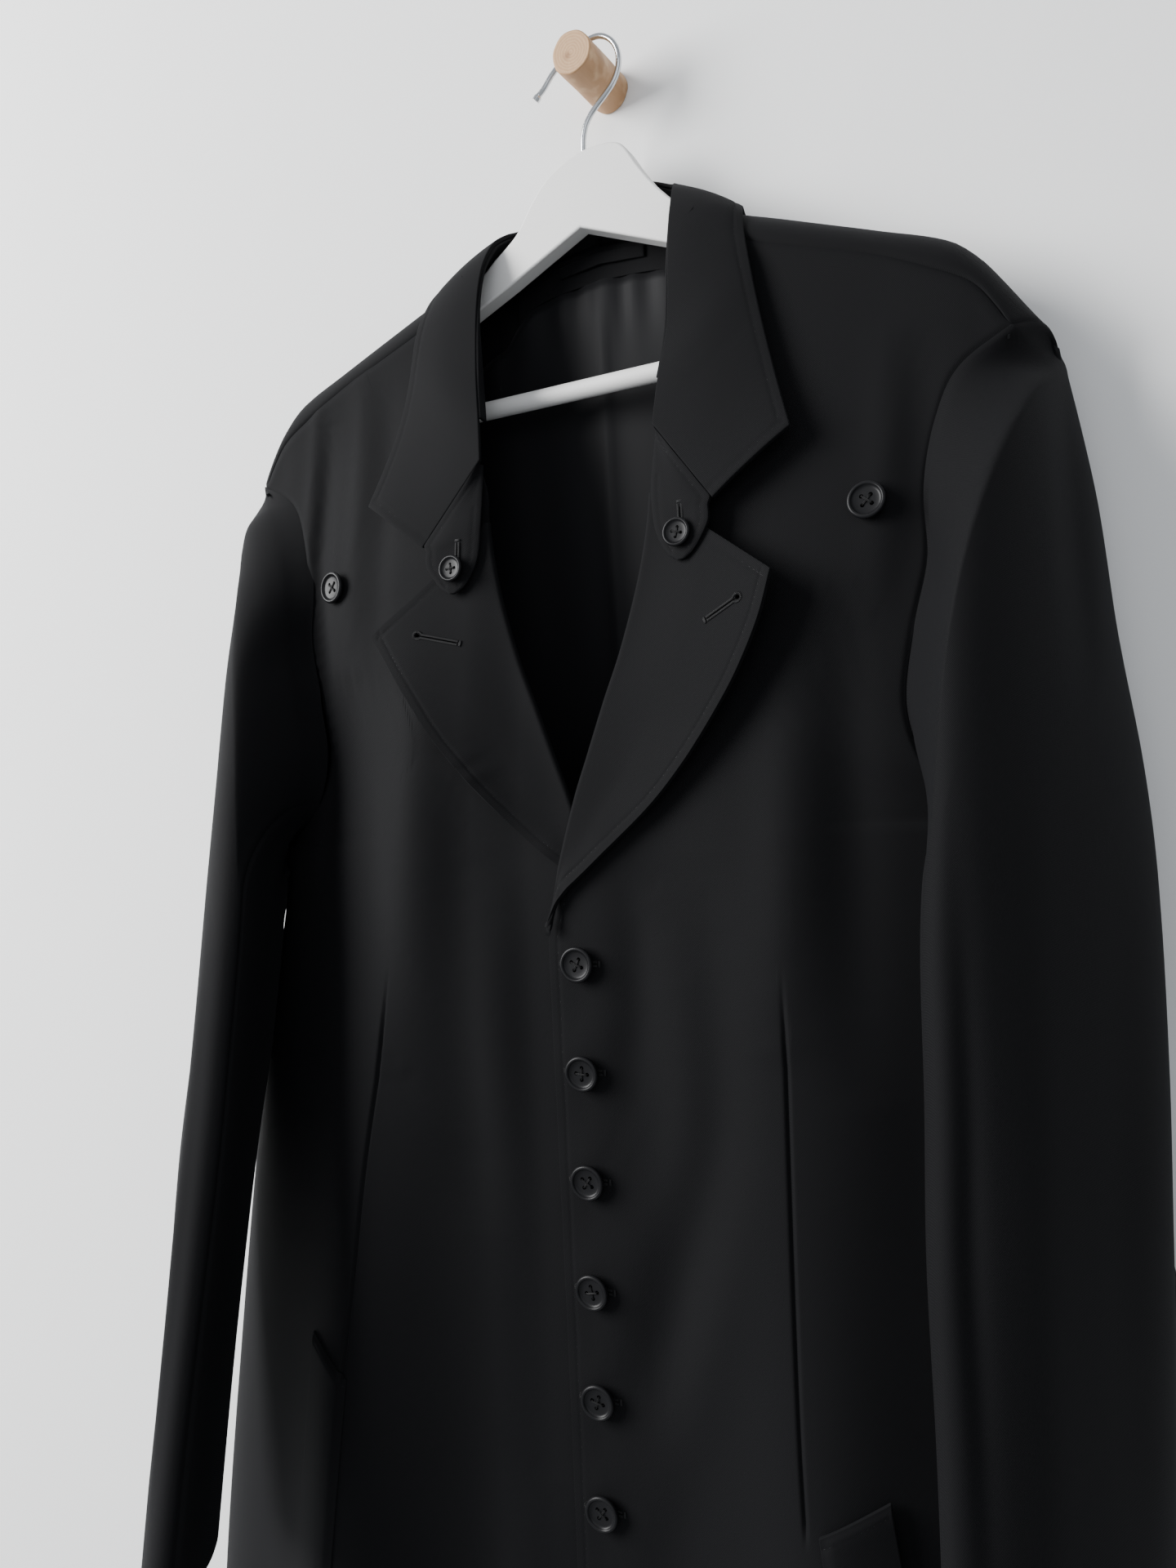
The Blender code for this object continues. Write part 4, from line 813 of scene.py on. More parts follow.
def lapel_points(side):
    """The turned-back upper front: round the roll from the inside, then out to its edge."""
    end = RIGHT_LAPEL_END if side > 0 else LEFT_LAPEL_END
    across = spread((0, 0.30, 12), (0.30, 0.86, 24), (0.86, 1, 18))
    u, v = np.meshgrid(across, np.linspace(0, end, 150))
    roll = path(ROLL, np.interp(v, np.linspace(0, 1, len(LAPEL_RULES)), LAPEL_RULES))
    rows = LAPEL_EDGE if side > 0 else LEFT_LAPEL_EDGE
    edge = path(rows, (len(LAPEL_EDGE) - 1) * v)
    curled = smooth((1 - v[:, :1, None]) / LAPEL_FOOT)
    under = 0.0
    if side < 0:
        other_roll = curve(-roll[..., 2], -ROLL[5:, 2], ROLL[5:, 0])
        width = edge[..., 0] - roll[..., 0]
        hidden = np.clip((-other_roll - LAPEL_TUCK - roll[..., 0]) / width, 0.0, 0.96)
        u = lerp(hidden, 1.0, u)
        curled = curled * (1 - smooth(hidden[:, :1, None] / 0.06))
        under = smooth((0.004 - other_roll - lerp(roll[..., 0], edge[..., 0], u)) / LAPEL_TUCK)
    x, z = lerp(roll[..., 0], edge[..., 0], u), lerp(roll[..., 2], edge[..., 1], u)
    rise = lerp(lerp(LAPEL_ROLL_LIFT, edge[..., 2], u**LAPEL_RISE_POWER), LAPEL_UNDER_LIFT, under)
    uneven = smooth((v - 0.30) / 0.15) * (0.55 + 0.45 * np.sin(v * 23 + side))
    ripple = LAPEL_RIPPLE * np.sin(v * 74 + 2.4 * np.sin(v * 17)) * smooth((u - 0.45) / 0.5) * uneven
    wave = LAPEL_WAVE * np.sin(v * 7.5 + side) * smooth(u / 0.5)
    y = plain_front_y(x * side, z, side) - rise - ripple - wave
    face = points_at(x, y, z, side)
    out = normals(face, np.array((0, -1.0, 0)))
    down_roll = np.gradient(face[:, 0], axis=0)[:, None]
    inward = side * np.cross(down_roll, out[:, :1])
    inward /= np.linalg.norm(inward, axis=2, keepdims=True)
    room = np.hypot(edge[..., 0] - roll[..., 0], edge[..., 1] - roll[..., 2])[:, :1, None]
    radius = np.minimum(lerp(LAPEL_CREASE_RADIUS, LAPEL_ROLL_RADIUS, curled), room / 5)
    centre = face[:, :1] - out[:, :1] * radius
    bends = [centre + radius * (sin(angle) * inward + cos(angle) * out[:, :1])
             for angle in np.linspace(pi, pi / 8, 7)]
    tail = bends[0] - inward * np.minimum(lerp(LAPEL_SHORT_TAIL, LAPEL_TAIL, curled), room / 3)
    return np.concatenate([tail] + bends + [face], axis=1)


def fall_points():
    """The collar's fall, from its fold to its outer edge; the columns run round the neck."""
    across = spread((0, 0.10, 6), (0.10, 0.85, 16), (0.85, 1, 10))
    around = spread((-1, -0.96, 8), (-0.96, 0.96, 300), (0.96, 1, 8))
    u, signed = np.meshgrid(across, around)
    share = np.abs(signed)
    roll = path(ROLL, np.interp(share, FALL_RULES["share"], FALL_RULES["roll"]))
    gorge_start = FALL_RULES["share"][-1]
    past_roll = np.clip((share - gorge_start) / (1 - gorge_start), 0.0, 1.0)[..., None]
    gorge = lerp(path(ROLL, np.array(ROLL_AT_STAND_SEAM)), COLLAR_NOTCH, past_roll)
    inner = np.where((share <= gorge_start)[..., None], roll, gorge)
    outer = path(FALL_EDGE, (len(FALL_EDGE) - 1) * share)
    behind, before = np.array((0.2, 0.5, 1.0)), np.array((0.45, -0.75, 0.55))
    away = lerp(behind, before, smooth((share - 0.30) / 0.32)[..., None])
    away /= np.linalg.norm(away, axis=-1, keepdims=True)
    points = lerp(inner, outer, u[..., None])
    wave = COLLAR_WAVE * np.sin(signed * 17 + 1.0) * smooth(u / 0.6) * smooth((share - 0.55) / 0.1)
    points = points + away * (COLLAR_SWELL * 4 * u * (1 - u) + wave)[..., None]
    points[..., 0] *= np.where(signed < 0, -1, 1)
    return points, away * np.where(signed < 0, -1, 1)[..., None] ** np.array((1, 0, 0))


def stand_points():
    """The collar's stand, from the neck seam up to the fold."""
    u, signed = np.meshgrid(np.linspace(0, 1, 14), np.linspace(-0.97, 0.97, 220))
    share = np.abs(signed) * (len(NECK) - 1)
    foot, top = path(NECK, share), path(ROLL, share)
    top[..., 2] -= STAND_BELOW_FOLD
    points = lerp(foot, top, u[..., None])
    points[..., 0] *= np.where(signed < 0, -1, 1)
    return points


def tab_lift(x, z):
    """How far the tab's face stands off the front: over the lapel, more so further out."""
    reach = (np.maximum(0.0, x - TAB_START_X) / LAPEL_REACH) ** LAPEL_RISE_POWER
    over_lapel = lerp(LAPEL_ROLL_LIFT, LAPEL_EDGE[0, 2], reach)
    return FOLDED_CLOTH + TAB_GAP + over_lapel * smooth((TAB["z"][0] - z) / TAB_RISE_DROP)


def tab_points(side):
    """A collar tab, from under the fall's gorge edge down on to the lapel."""
    across = spread((0, 0.15, 5), (0.15, 0.85, 16), (0.85, 1, 5))
    down = spread((0, 0.9, 44), (0.9, 1, 8))
    u, v = np.meshgrid(across, down)
    z = lerp(TAB["z"][0], TAB["z"][-1], v)
    under_fall = smooth((z - COLLAR_NOTCH[2] + 0.004) / 0.006)
    gorge_top = path(ROLL, np.array(ROLL_AT_STAND_SEAM))
    down_gorge = np.clip((z - gorge_top[2]) / (COLLAR_NOTCH[2] - gorge_top[2]), 0, 1)
    gorge = lerp(gorge_top, COLLAR_NOTCH, down_gorge[..., None])
    outer_x = lerp(curve(-z, -TAB["z"], TAB["outer_x"]), gorge[..., 0] - TAB_GAP / 2, under_fall)
    x = lerp(curve(-z, -TAB["z"], TAB["inner_x"]), outer_x, u)
    y = plain_front_y(x * side, z, side) - tab_lift(x, z) - 0.0010 * (1 - (2 * u - 1) ** 4)
    y = lerp(y, gorge[..., 1], smooth((u - 0.2) / 0.8) * under_fall)
    return points_at(x, y, z, side)


def pocket_points(side):
    """A slanted pocket's welt, from its upper end down."""
    (top_x, top_z), stand_off = POCKETS[side]
    across = spread((0, 0.12, 6), (0.12, 0.88, 18), (0.88, 1, 6))
    down = spread((0, 0.04, 8), (0.04, 0.98, 60), (0.98, 1, 4))
    u, v = np.meshgrid(across, down)
    x = top_x * side + POCKET_WIDTH * u + POCKET_LEAN * v
    z = top_z + POCKET_END_RISE * u - POCKET_LENGTH * v
    swell = POCKET_SWELL * smooth(u / 0.2) * smooth(v / 0.03)
    y = outer_front_y(x * side, z, side) - stand_off - FOLDED_CLOTH - swell
    return points_at(x, y, z, side)


def inside_back(across, v, depth):
    """Points inside the back, at a depth from its outer face; across is below 0 on the left half."""
    u = np.abs(across)
    halves = [back_form(u, v, side) for side in (1, -1)]
    point = np.where((across < 0)[..., None], halves[1], halves[0])
    out = normals(point, np.array((0, 1.0, 0.2)))
    return point - depth * out


def lining_points():
    """The back's lining with its centre pleat, hung inside the back."""
    across, v = np.meshgrid(np.linspace(-0.70, 0.70, 146), spread((1.065, 2.0, 56), (2.0, 2.96, 30)))
    points = inside_back(across, v, LINING_DEPTH)
    x = points[..., 0]
    pleat = PLEAT_DEPTH * np.exp(-np.abs(x - PLEAT_X) / PLEAT_WIDTH) * np.where(x < PLEAT_X, 0.55, 1.0)
    soft = 0.0006 * np.sin(x * 60 + 1.2) + 0.0003 * np.sin(x * 131 + points[..., 2] * 6)
    gathers = 0.0007 * np.sin(x * 330 + 2 * np.sin(x * 60)) * np.exp(-((v - 1.065) / 0.08) ** 2)
    points[..., 1] -= pleat + np.maximum(soft, -0.0010) * smooth((v - 1.07) / 0.2) + gathers
    return points


def normals(points, toward):
    """Outward directions of a grid of points; toward tells which of its two sides is out."""
    out = np.cross(np.gradient(points, axis=1), np.gradient(points, axis=0))
    out /= np.maximum(np.linalg.norm(out, axis=2, keepdims=True), 1e-15)
    return out if np.sum(out * toward) > 0 else -out


def seam_dip(points, out, edges, depth=0.0010, width=0.0018):
    """Draws the cloth in along its sewn edges: top, foot, first or last."""
    dip = np.zeros(points.shape[:2])
    for edge in edges:
        axis = 0 if edge in ("top", "foot") else 1
        flipped = edge in ("foot", "last")
        line = np.flip(points, axis) if flipped else points
        steps = np.linalg.norm(np.diff(line, axis=axis), axis=2)
        start = np.zeros_like(np.take(steps, [0], axis=axis))
        distance = np.concatenate([start, np.cumsum(steps, axis=axis)], axis=axis)
        distance = np.flip(distance, axis) if flipped else distance
        dip = np.maximum(dip, depth * np.exp(-((distance / width) ** 2)))
    return points - out * dip[..., None]


def edge_line(points, out, edge, inset):
    """The line that runs on the cloth at an inset from one of its edges, and the cloth's directions."""
    if edge in ("top", "foot"):
        points, out = points.transpose(1, 0, 2), out.transpose(1, 0, 2)
    if edge in ("foot", "last"):
        points, out = points[:, ::-1], out[:, ::-1]
    steps = np.linalg.norm(np.diff(points, axis=1), axis=2)
    distance = np.concatenate([np.zeros((len(points), 1)), np.cumsum(steps, axis=1)], axis=1)
    line, directions = [], []
    for row, at, ways in zip(points, distance, out):
        if at[-1] > inset * 1.5:
            line.append([np.interp(inset, at, row[:, axis]) for axis in range(3)])
            directions.append([np.interp(inset, at, ways[:, axis]) for axis in range(3)])
    return np.array(line), np.array(directions)


def press_line(points, line, depth=STITCH_SINK, width=0.0010):
    """How far a row of stitches presses the cloth in, at each point of its grid."""
    best = np.full(points.shape[:2], 1e9)
    for start in range(0, len(line), 2):
        best = np.minimum(best, np.sum((points - line[start]) ** 2, axis=2))
    return depth * np.exp(-best / width**2)


def linear(colour):
    """A hex colour as the linear values that shaders take."""
    channels = [int(colour[i : i + 2], 16) / 255 for i in (1, 3, 5)]
    return (*[c / 12.92 if c <= 0.04045 else ((c + 0.055) / 1.055) ** 2.4 for c in channels], 1.0)


def add(tree, kind, values=None, **settings):
    """A shader node with its settings, and its inputs set to values or linked to other nodes' outputs."""
    node = tree.nodes.new(f"ShaderNode{kind}")
    for name, value in settings.items():
        setattr(node, name, value)
    for name, value in (values or {}).items():
        if isinstance(value, bpy.types.NodeSocket):
            tree.links.new(value, node.inputs[name])
        else:
            node.inputs[name].default_value = value
    return node


def new_material(name):
    """An empty material, its tree and the Object coordinates."""
    material = bpy.data.materials.new(name)
    material.use_nodes = True
    tree = material.node_tree
    tree.nodes.clear()
    where = add(tree, "TexCoord").outputs["Object"]
    return material, tree, where


def finish(tree, values):
    """Ends a material with a surface of these values."""
    surface = add(tree, "BsdfPrincipled", values).outputs["BSDF"]
    add(tree, "OutputMaterial", {"Surface": surface})


def grain_scale(size):
    """The scale of a noise whose grains are this many millimetres across."""
    return 1000 / size


def band_scale(spacing, wave_radians):
    """The scale of a wave whose bands lie this many millimetres apart."""
    return 2 * pi * 1000 / (spacing * wave_radians)


# Radians that a wave texture turns through in a unit, and how the cloth's ribs lean
WAVE_ALONG_AXIS = 20
WAVE_ALONG_DIAGONAL = 10
RIB_LEAN = (1.5, 1.5, 0.75)


def gabardine():
    """Wool gabardine, piece dyed black: matt, with steep twill ribs that show as a fine grain. The ribs are
    0.67 mm apart, about twice the usual spacing, because finer ones would not show."""
    material, tree, where = new_material("black wool gabardine")
    rib_radians = WAVE_ALONG_DIAGONAL * np.hypot(RIB_LEAN[0], RIB_LEAN[2])
    slanted = add(tree, "Mapping", {"Vector": where, "Scale": RIB_LEAN}).outputs[0]
    ribs = add(tree, "TexWave",
               {"Vector": slanted, "Scale": band_scale(0.669, rib_radians), "Distortion": 0.6, "Detail": 1},
               bands_direction="DIAGONAL").outputs["Fac"]
    nap = add(tree, "TexNoise", {"Vector": where, "Scale": grain_scale(0.714), "Detail": 2}).outputs["Fac"]
    cloudy = add(tree, "TexNoise", {"Vector": where, "Scale": grain_scale(111), "Detail": 3}).outputs["Fac"]
    relief = add(tree, "Math", {0: ribs, 1: nap}).outputs[0]
    bump = add(tree, "Bump", {"Height": relief, "Strength": 0.55, "Distance": 0.00014}).outputs[0]
    rib_tone = add(tree, "MapRange", {"Value": relief, "From Max": 2.0, "To Min": 0.70, "To Max": 1.25})
    cloud_tone = add(tree, "MapRange", {"Value": cloudy, "To Min": 0.92, "To Max": 1.08})
    tone = add(tree, "Math", {0: rib_tone.outputs[0], 1: cloud_tone.outputs[0]}, operation="MULTIPLY")
    share = add(tree, "MapRange", {"Value": tone.outputs[0], "From Min": 0.6, "From Max": 1.4})
    colour = add(tree, "Mix", {0: share.outputs[0], 6: linear("#040405"), 7: linear("#0e0e10")},
                 data_type="RGBA").outputs[2]
    finish(tree, {"Base Color": colour, "Roughness": 0.78, "Specular IOR Level": 0.11, "Sheen Weight": 0.05,
                  "Sheen Roughness": 0.5, "Sheen Tint": linear("#8a8c92"), "Normal": bump})
    return material


def satin():
    """Viscose lining satin, charcoal: smooth threads that run down it give a soft sheen."""
    material, tree, where = new_material("dark satin lining")
    long_grain = add(tree, "Mapping", {"Vector": where, "Scale": (1.0, 1.0, 0.06)}).outputs[0]
    grain = add(tree, "TexNoise",
                {"Vector": long_grain, "Scale": grain_scale(0.556), "Detail": 1}).outputs["Fac"]
    bump = add(tree, "Bump", {"Height": grain, "Strength": 0.15, "Distance": 0.00006}).outputs[0]
    finish(tree, {"Base Color": linear("#121214"), "Roughness": 0.62, "Specular IOR Level": 0.14,
                  "Sheen Weight": 0.03, "Sheen Roughness": 0.4, "Normal": bump})
    return material


def white_paint():
    """Beech under thin white paint: satin gloss, with some of the grain still to see along the arms."""
    material, tree, where = new_material("white painted beech")
    stretched = add(tree, "Mapping", {"Vector": where, "Scale": (0.05, 1.0, 1.0)}).outputs[0]
    grain = add(tree, "TexNoise",
                {"Vector": stretched, "Scale": grain_scale(1.11), "Detail": 3}).outputs["Fac"]
    bump = add(tree, "Bump", {"Height": grain, "Strength": 0.2, "Distance": 0.0001}).outputs[0]
    share = add(tree, "MapRange", {"Value": grain, "To Min": 0.35, "To Max": 0.65}).outputs[0]
    colour = add(tree, "Mix", {0: share, 6: linear("#dddcd9"), 7: linear("#e9e8e6")},
                 data_type="RGBA").outputs[2]
    finish(tree, {"Base Color": colour, "Roughness": 0.48, "Normal": bump})
    return material


def chromed_wire():
    """Chromed steel wire, drawn and polished: a mirror that blurs a little."""
    material, tree, _ = new_material("chromed steel wire")
    finish(tree, {"Base Color": linear("#c9cbcd"), "Metallic": 1.0, "Roughness": 0.16})
    return material


def peeled_branch():
    """Peeled and dried branch wood: streaks along its sides, rings and a dark heart on its sawn end."""
    material, tree, where = new_material("peeled branch wood")
    streaky = add(tree, "Mapping", {"Vector": where, "Scale": (1.0, 0.12, 1.0)}).outputs[0]
    streak_noise = {"Vector": streaky, "Scale": grain_scale(2.38), "Detail": 4, "Roughness": 0.6}
    streaks = add(tree, "TexNoise", streak_noise).outputs["Fac"]
    patches = add(tree, "TexNoise",
                  {"Vector": where, "Scale": grain_scale(10.5), "Detail": 2}).outputs["Fac"]
    streak_share = add(tree, "MapRange", {"Value": streaks, "To Min": 0.35, "To Max": 0.65}).outputs[0]
    side = add(tree, "Mix", {0: streak_share, 6: linear("#8a6340"), 7: linear("#c69c72")},
               data_type="RGBA").outputs[2]
    patch_share = add(tree, "MapRange",
                      {"Value": patches, "From Min": 0.52, "From Max": 0.66, "To Max": 0.65}).outputs[0]
    side = add(tree, "Mix", {0: patch_share, 6: side, 7: linear("#caa882")}, data_type="RGBA").outputs[2]

    rings = add(tree, "TexWave",
                {"Vector": where, "Scale": band_scale(1.653, WAVE_ALONG_AXIS), "Distortion": 2.2,
                 "Detail": 2, "Detail Scale": 1.5}, wave_type="RINGS", rings_direction="Y").outputs["Fac"]
    ring_share = add(tree, "MapRange", {"Value": rings, "To Min": 0.25, "To Max": 0.75}).outputs[0]
    end = add(tree, "Mix", {0: ring_share, 6: linear("#a9815a"), 7: linear("#c3a07a")},
              data_type="RGBA").outputs[2]
    from_heart = add(tree, "VectorMath", {0: where, 1: (0.0025, PEG_LENGTH, 0.0015)}).outputs[0]
    distance = add(tree, "VectorMath", {0: from_heart}, operation="LENGTH").outputs["Value"]
    heart_share = add(tree, "MapRange", {"Value": distance, "From Min": 0.0006, "From Max": 0.0032,
                                         "To Min": 0.55, "To Max": 0.0}).outputs[0]
    end = add(tree, "Mix", {0: heart_share, 6: end, 7: linear("#6d4424")}, data_type="RGBA").outputs[2]

    facing = add(tree, "SeparateXYZ", {0: add(tree, "NewGeometry").outputs["Normal"]}).outputs["Y"]
    on_end = add(tree, "MapRange", {"Value": facing, "From Min": -0.85, "From Max": -0.6, "To Min": 1.0,
                                    "To Max": 0.0}).outputs[0]
    colour = add(tree, "Mix", {0: on_end, 6: side, 7: end}, data_type="RGBA").outputs[2]
    bump = add(tree, "Bump", {"Height": streaks, "Strength": 0.5, "Distance": 0.0004}).outputs[0]
    finish(tree, {"Base Color": colour, "Roughness": 0.62, "Normal": bump})
    return material


def button_resin():
    """Cast polyester button resin, near black: satin polished, with faint clouds as in horn."""
    material, tree, where = new_material("dark polyester button")
    clouds = add(tree, "TexNoise", {"Vector": where, "Scale": grain_scale(4.76), "Detail": 3}).outputs["Fac"]
    share = add(tree, "MapRange", {"Value": clouds, "To Min": 0.35, "To Max": 0.7}).outputs[0]
    colour = add(tree, "Mix", {0: share, 6: linear("#0d0d0e"), 7: linear("#171719")},
                 data_type="RGBA").outputs[2]
    roughness = add(tree, "MapRange", {"Value": clouds, "To Min": 0.34, "To Max": 0.42}).outputs[0]
    finish(tree, {"Base Color": colour, "Roughness": roughness, "Specular IOR Level": 0.17})
    return material


def sewing_thread():
    """Spun polyester thread, black: a dull gleam broken by its twist, 0.7 mm a turn."""
    material, tree, where = new_material("black polyester thread")
    twist = add(tree, "TexWave", {"Vector": where, "Scale": band_scale(0.698, WAVE_ALONG_DIAGONAL)},
                bands_direction="DIAGONAL").outputs["Fac"]
    bump = add(tree, "Bump", {"Height": twist, "Strength": 0.3, "Distance": 0.00005}).outputs[0]
    finish(tree, {"Base Color": linear("#121213"), "Roughness": 0.55, "Specular IOR Level": 0.25,
                  "Normal": bump})
    return material


def painted_cut_shade():
    """Painted shade for a buttonhole's cut: a near-black, matt sheet on the cloth's face that stands for the
    shadow inside the slit, with no gleam.
    """
    material, tree, _ = new_material("painted shade in a buttonhole cut")
    finish(tree, {"Base Color": linear("#020202"), "Roughness": 1.0, "Specular IOR Level": 0.0})
    return material


def wall_paint():
    """Rolled off-white wall paint, matt, over plaster that is a little uneven. It is clear from behind, so
    that views from behind the wall show the coat."""
    material, tree, where = new_material("matt wall paint")
    uneven = add(tree, "TexNoise", {"Vector": where, "Scale": grain_scale(143), "Detail": 4}).outputs["Fac"]
    fine = add(tree, "TexNoise", {"Vector": where, "Scale": grain_scale(3.85), "Detail": 2}).outputs["Fac"]
    faint = add(tree, "Math", {0: fine, 1: 0.10}, operation="MULTIPLY").outputs[0]
    relief = add(tree, "Math", {0: uneven, 1: faint}).outputs[0]
    bump = add(tree, "Bump", {"Height": relief, "Strength": 0.35, "Distance": 0.002}).outputs[0]
    share = add(tree, "MapRange", {"Value": uneven, "To Min": 0.3, "To Max": 0.7}).outputs[0]
    colour = add(tree, "Mix", {0: share, 6: linear("#ececeb"), 7: linear("#f1f1f0")},
                 data_type="RGBA").outputs[2]
    coat_of_paint = add(tree, "BsdfPrincipled", {"Base Color": colour, "Roughness": 0.9, "Normal": bump})
    clear = add(tree, "BsdfTransparent").outputs["BSDF"]
    behind = add(tree, "NewGeometry").outputs["Backfacing"]
    shown = add(tree, "MixShader", {0: behind, 1: coat_of_paint.outputs["BSDF"], 2: clear}).outputs[0]
    add(tree, "OutputMaterial", {"Surface": shown})
    return material


def mesh_of(shape, name):
    """A finished bmesh as a mesh."""
    mesh = bpy.data.meshes.new(name)
    shape.to_mesh(mesh)
    shape.free()
    return mesh


def place(name, mesh, material, node=None):
    """A named piece that rides on the part and may stand for one of its nodes."""
    mesh.name = name
    mesh.materials.append(material)
    mesh.shade_smooth()
    piece = bpy.data.objects.new(name, mesh)
    bpy.context.scene.collection.objects.link(piece)
    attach(piece, "root")
    if node:
        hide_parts(node)
    return piece


def ease_edges(piece, name, width, segments, sharpest):
    """Rounds a piece's edges that turn by more than an angle in degrees."""
    eased = piece.modifiers.new(name, "BEVEL")
    eased.width = width
    eased.segments = segments
    eased.limit_method = "ANGLE"
    eased.angle_limit = radians(sharpest)


def cloth(name, points, toward, material, thickness=CLOTH, node=None, round_rim=True):
    """A sheet of cloth on a grid of points on its outer face, with its thickness behind them."""
    out = np.cross(np.gradient(points, axis=1), np.gradient(points, axis=0))
    if np.sum(out * toward) < 0:
        points = points[:, ::-1]
    rows, columns = points.shape[:2]
    grid = bmesh.new()
    bmesh.ops.create_grid(grid, x_segments=columns - 1, y_segments=rows - 1, size=1.0)
    mesh = mesh_of(grid, name)
    flat = np.zeros(len(mesh.vertices) * 3)
    mesh.vertices.foreach_get("co", flat)
    flat = flat.reshape(-1, 3)
    column = np.rint((flat[:, 0] + 1) / 2 * (columns - 1)).astype(int)
    row = np.rint((flat[:, 1] + 1) / 2 * (rows - 1)).astype(int)
    placed = points[row, column] + HOOK_FOOT
    mesh.vertices.foreach_set("co", placed.reshape(-1))
    piece = place(name, mesh, material, node or name)
    shell = piece.modifiers.new("cloth thickness", "SOLIDIFY")
    shell.thickness = thickness
    shell.offset = -1.0
    if round_rim:
        ease_edges(piece, "turned edge", thickness * 0.42, 2, 55)
    return piece


def scattered(name, template, places, material):
    """Many copies of a small closed shape in one mesh, one for each 4 by 4 placing."""
    shape = mesh_of(template, "template")
    corners = np.array([vertex.co for vertex in shape.vertices])
    faces = [list(face.vertices) for face in shape.polygons]
    bpy.data.meshes.remove(shape)
    places = np.array(places)
    moved = np.einsum("nij,kj->nki", places[:, :3, :3], corners) + places[:, None, :3, 3]
    count = len(corners)
    all_faces = [[corner + count * i for corner in face] for i in range(len(places)) for face in faces]
    mesh = bpy.data.meshes.new(name)
    mesh.from_pydata((moved.reshape(-1, 3) + HOOK_FOOT).tolist(), [], all_faces)
    return place(name, mesh, material, None)


def thread_bead():
    """One stitch's thread, 1 long and 1 in radius, to be scaled."""
    bead = bmesh.new()
    bmesh.ops.create_uvsphere(bead, u_segments=6, v_segments=5, radius=1.0)
    return bead


def frame_at(place_at, along, out, length, radius):
    """A placing whose Z runs along the thread, scaled to the stitch's length and radius."""
    along = np.asarray(along) / np.linalg.norm(along)
    side = np.cross(along, out)
    side /= np.linalg.norm(side)
    up = np.cross(side, along)
    placing = np.eye(4)
    placing[:3, 0], placing[:3, 1], placing[:3, 2] = side * radius, up * radius, along * length / 2
    placing[:3, 3] = place_at
    return placing


def between(at, steps, rows):
    """Points or directions at distances along a line."""
    return np.stack([np.interp(at, steps, rows[:, axis]) for axis in range(3)], axis=1)


def stitches_along(line, out):
    """Placings of the stitches in one row of topstitching."""
    steps = np.concatenate([[0], np.cumsum(np.linalg.norm(np.diff(line, axis=0), axis=1))])
    at = np.arange(STITCH_PITCH / 2, steps[-1], STITCH_PITCH)
    ahead, behind = (between(at + half, steps, line) for half in (STITCH_LENGTH / 2, -STITCH_LENGTH / 2))
    ways = between(at, steps, out)
    ways /= np.linalg.norm(ways, axis=1, keepdims=True)
    centres = between(at, steps, line) - ways * THREAD_RADIUS * THREAD_SUNK
    return [frame_at(centre, end - start, way, STITCH_LENGTH, THREAD_RADIUS)
            for centre, way, end, start in zip(centres, ways, ahead, behind)]


def buttonhole(start, end, out):
    """Placings of the thread round a buttonhole and of the near-black slivers painted as shade in its cut
    and eyelet. The thread makes bars across both lips, a ring round the eyelet at its start and a bar tack
    at its end."""
    start, end, out = (np.asarray(item, float) for item in (start, end, out))
    along = end - start
    length = np.linalg.norm(along)
    along /= length
    across = np.cross(out, along)
    across /= np.linalg.norm(across)
    bar_length, bar_middle = HOLE_LIP * 1.05, HOLE_LIP / 2 + HOLE_THREAD_GAP
    threads = []
    for at in np.arange(0, length, HOLE_PITCH):
        eyelet = HOLE_EYELET * max(0.0, 1 - (at / (2.2 * HOLE_EYELET)) ** 2) ** 0.5
        for side in (-1, 1):
            centre = start + along * at + across * side * (bar_middle + eyelet) + out * HOLE_THREAD_LIFT
            threads.append(frame_at(centre, across + along * 0.12 * side, out, bar_length, HOLE_THREAD))
    for angle in np.linspace(-pi / 2, pi / 2, 11):
        ray = across * sin(angle) - along * cos(angle)
        spot = start + ray * (bar_middle + HOLE_EYELET) + out * HOLE_THREAD_LIFT
        threads.append(frame_at(spot, ray, out, bar_length, HOLE_THREAD))
    for offset in (-0.0004, 0.0, 0.0004):
        tack = end + along * (HOLE_LIP * 0.9 + offset) + out * 0.0004
        threads.append(frame_at(tack, across, out, HOLE_LIP * 2.6, HOLE_THREAD * 1.15))
    # Painted shade: near-black slivers on the cloth's face stand for the shadow in the slit and in the
    # eyelet hole.
    cuts = [frame_at((start + end) / 2 + out * 0.00004, along, out, length * 1.04, 0.00030),
            frame_at(start + out * 0.00004, along, out, 2.2 * HOLE_EYELET, HOLE_EYELET * 0.95)]
    return threads, cuts


# A button's section from its middle to its rim and back: share of its radius, and share of its diameter
BUTTON_SECTION = (
    (0.0, 0.125),
    (0.40, 0.127),
    (0.64, 0.132),
    (0.73, 0.146),
    (0.775, 0.178),
    (0.805, 0.203),
    (0.85, 0.212),
    (0.91, 0.208),
    (0.965, 0.185),
    (1.0, 0.140),
    (0.97, 0.080),
    (0.86, 0.025),
    (0.70, 0.0),
    (0.0, 0.0),
)
BUTTON_SIDES = 96
BUTTON_FLOOR = 0.150
THREAD_HOLE_OFFSET = 0.118
THREAD_HOLE_RADIUS = 0.056
BUTTON_THREAD = 0.00022
BUTTON_THREAD_SPREAD = 0.00024


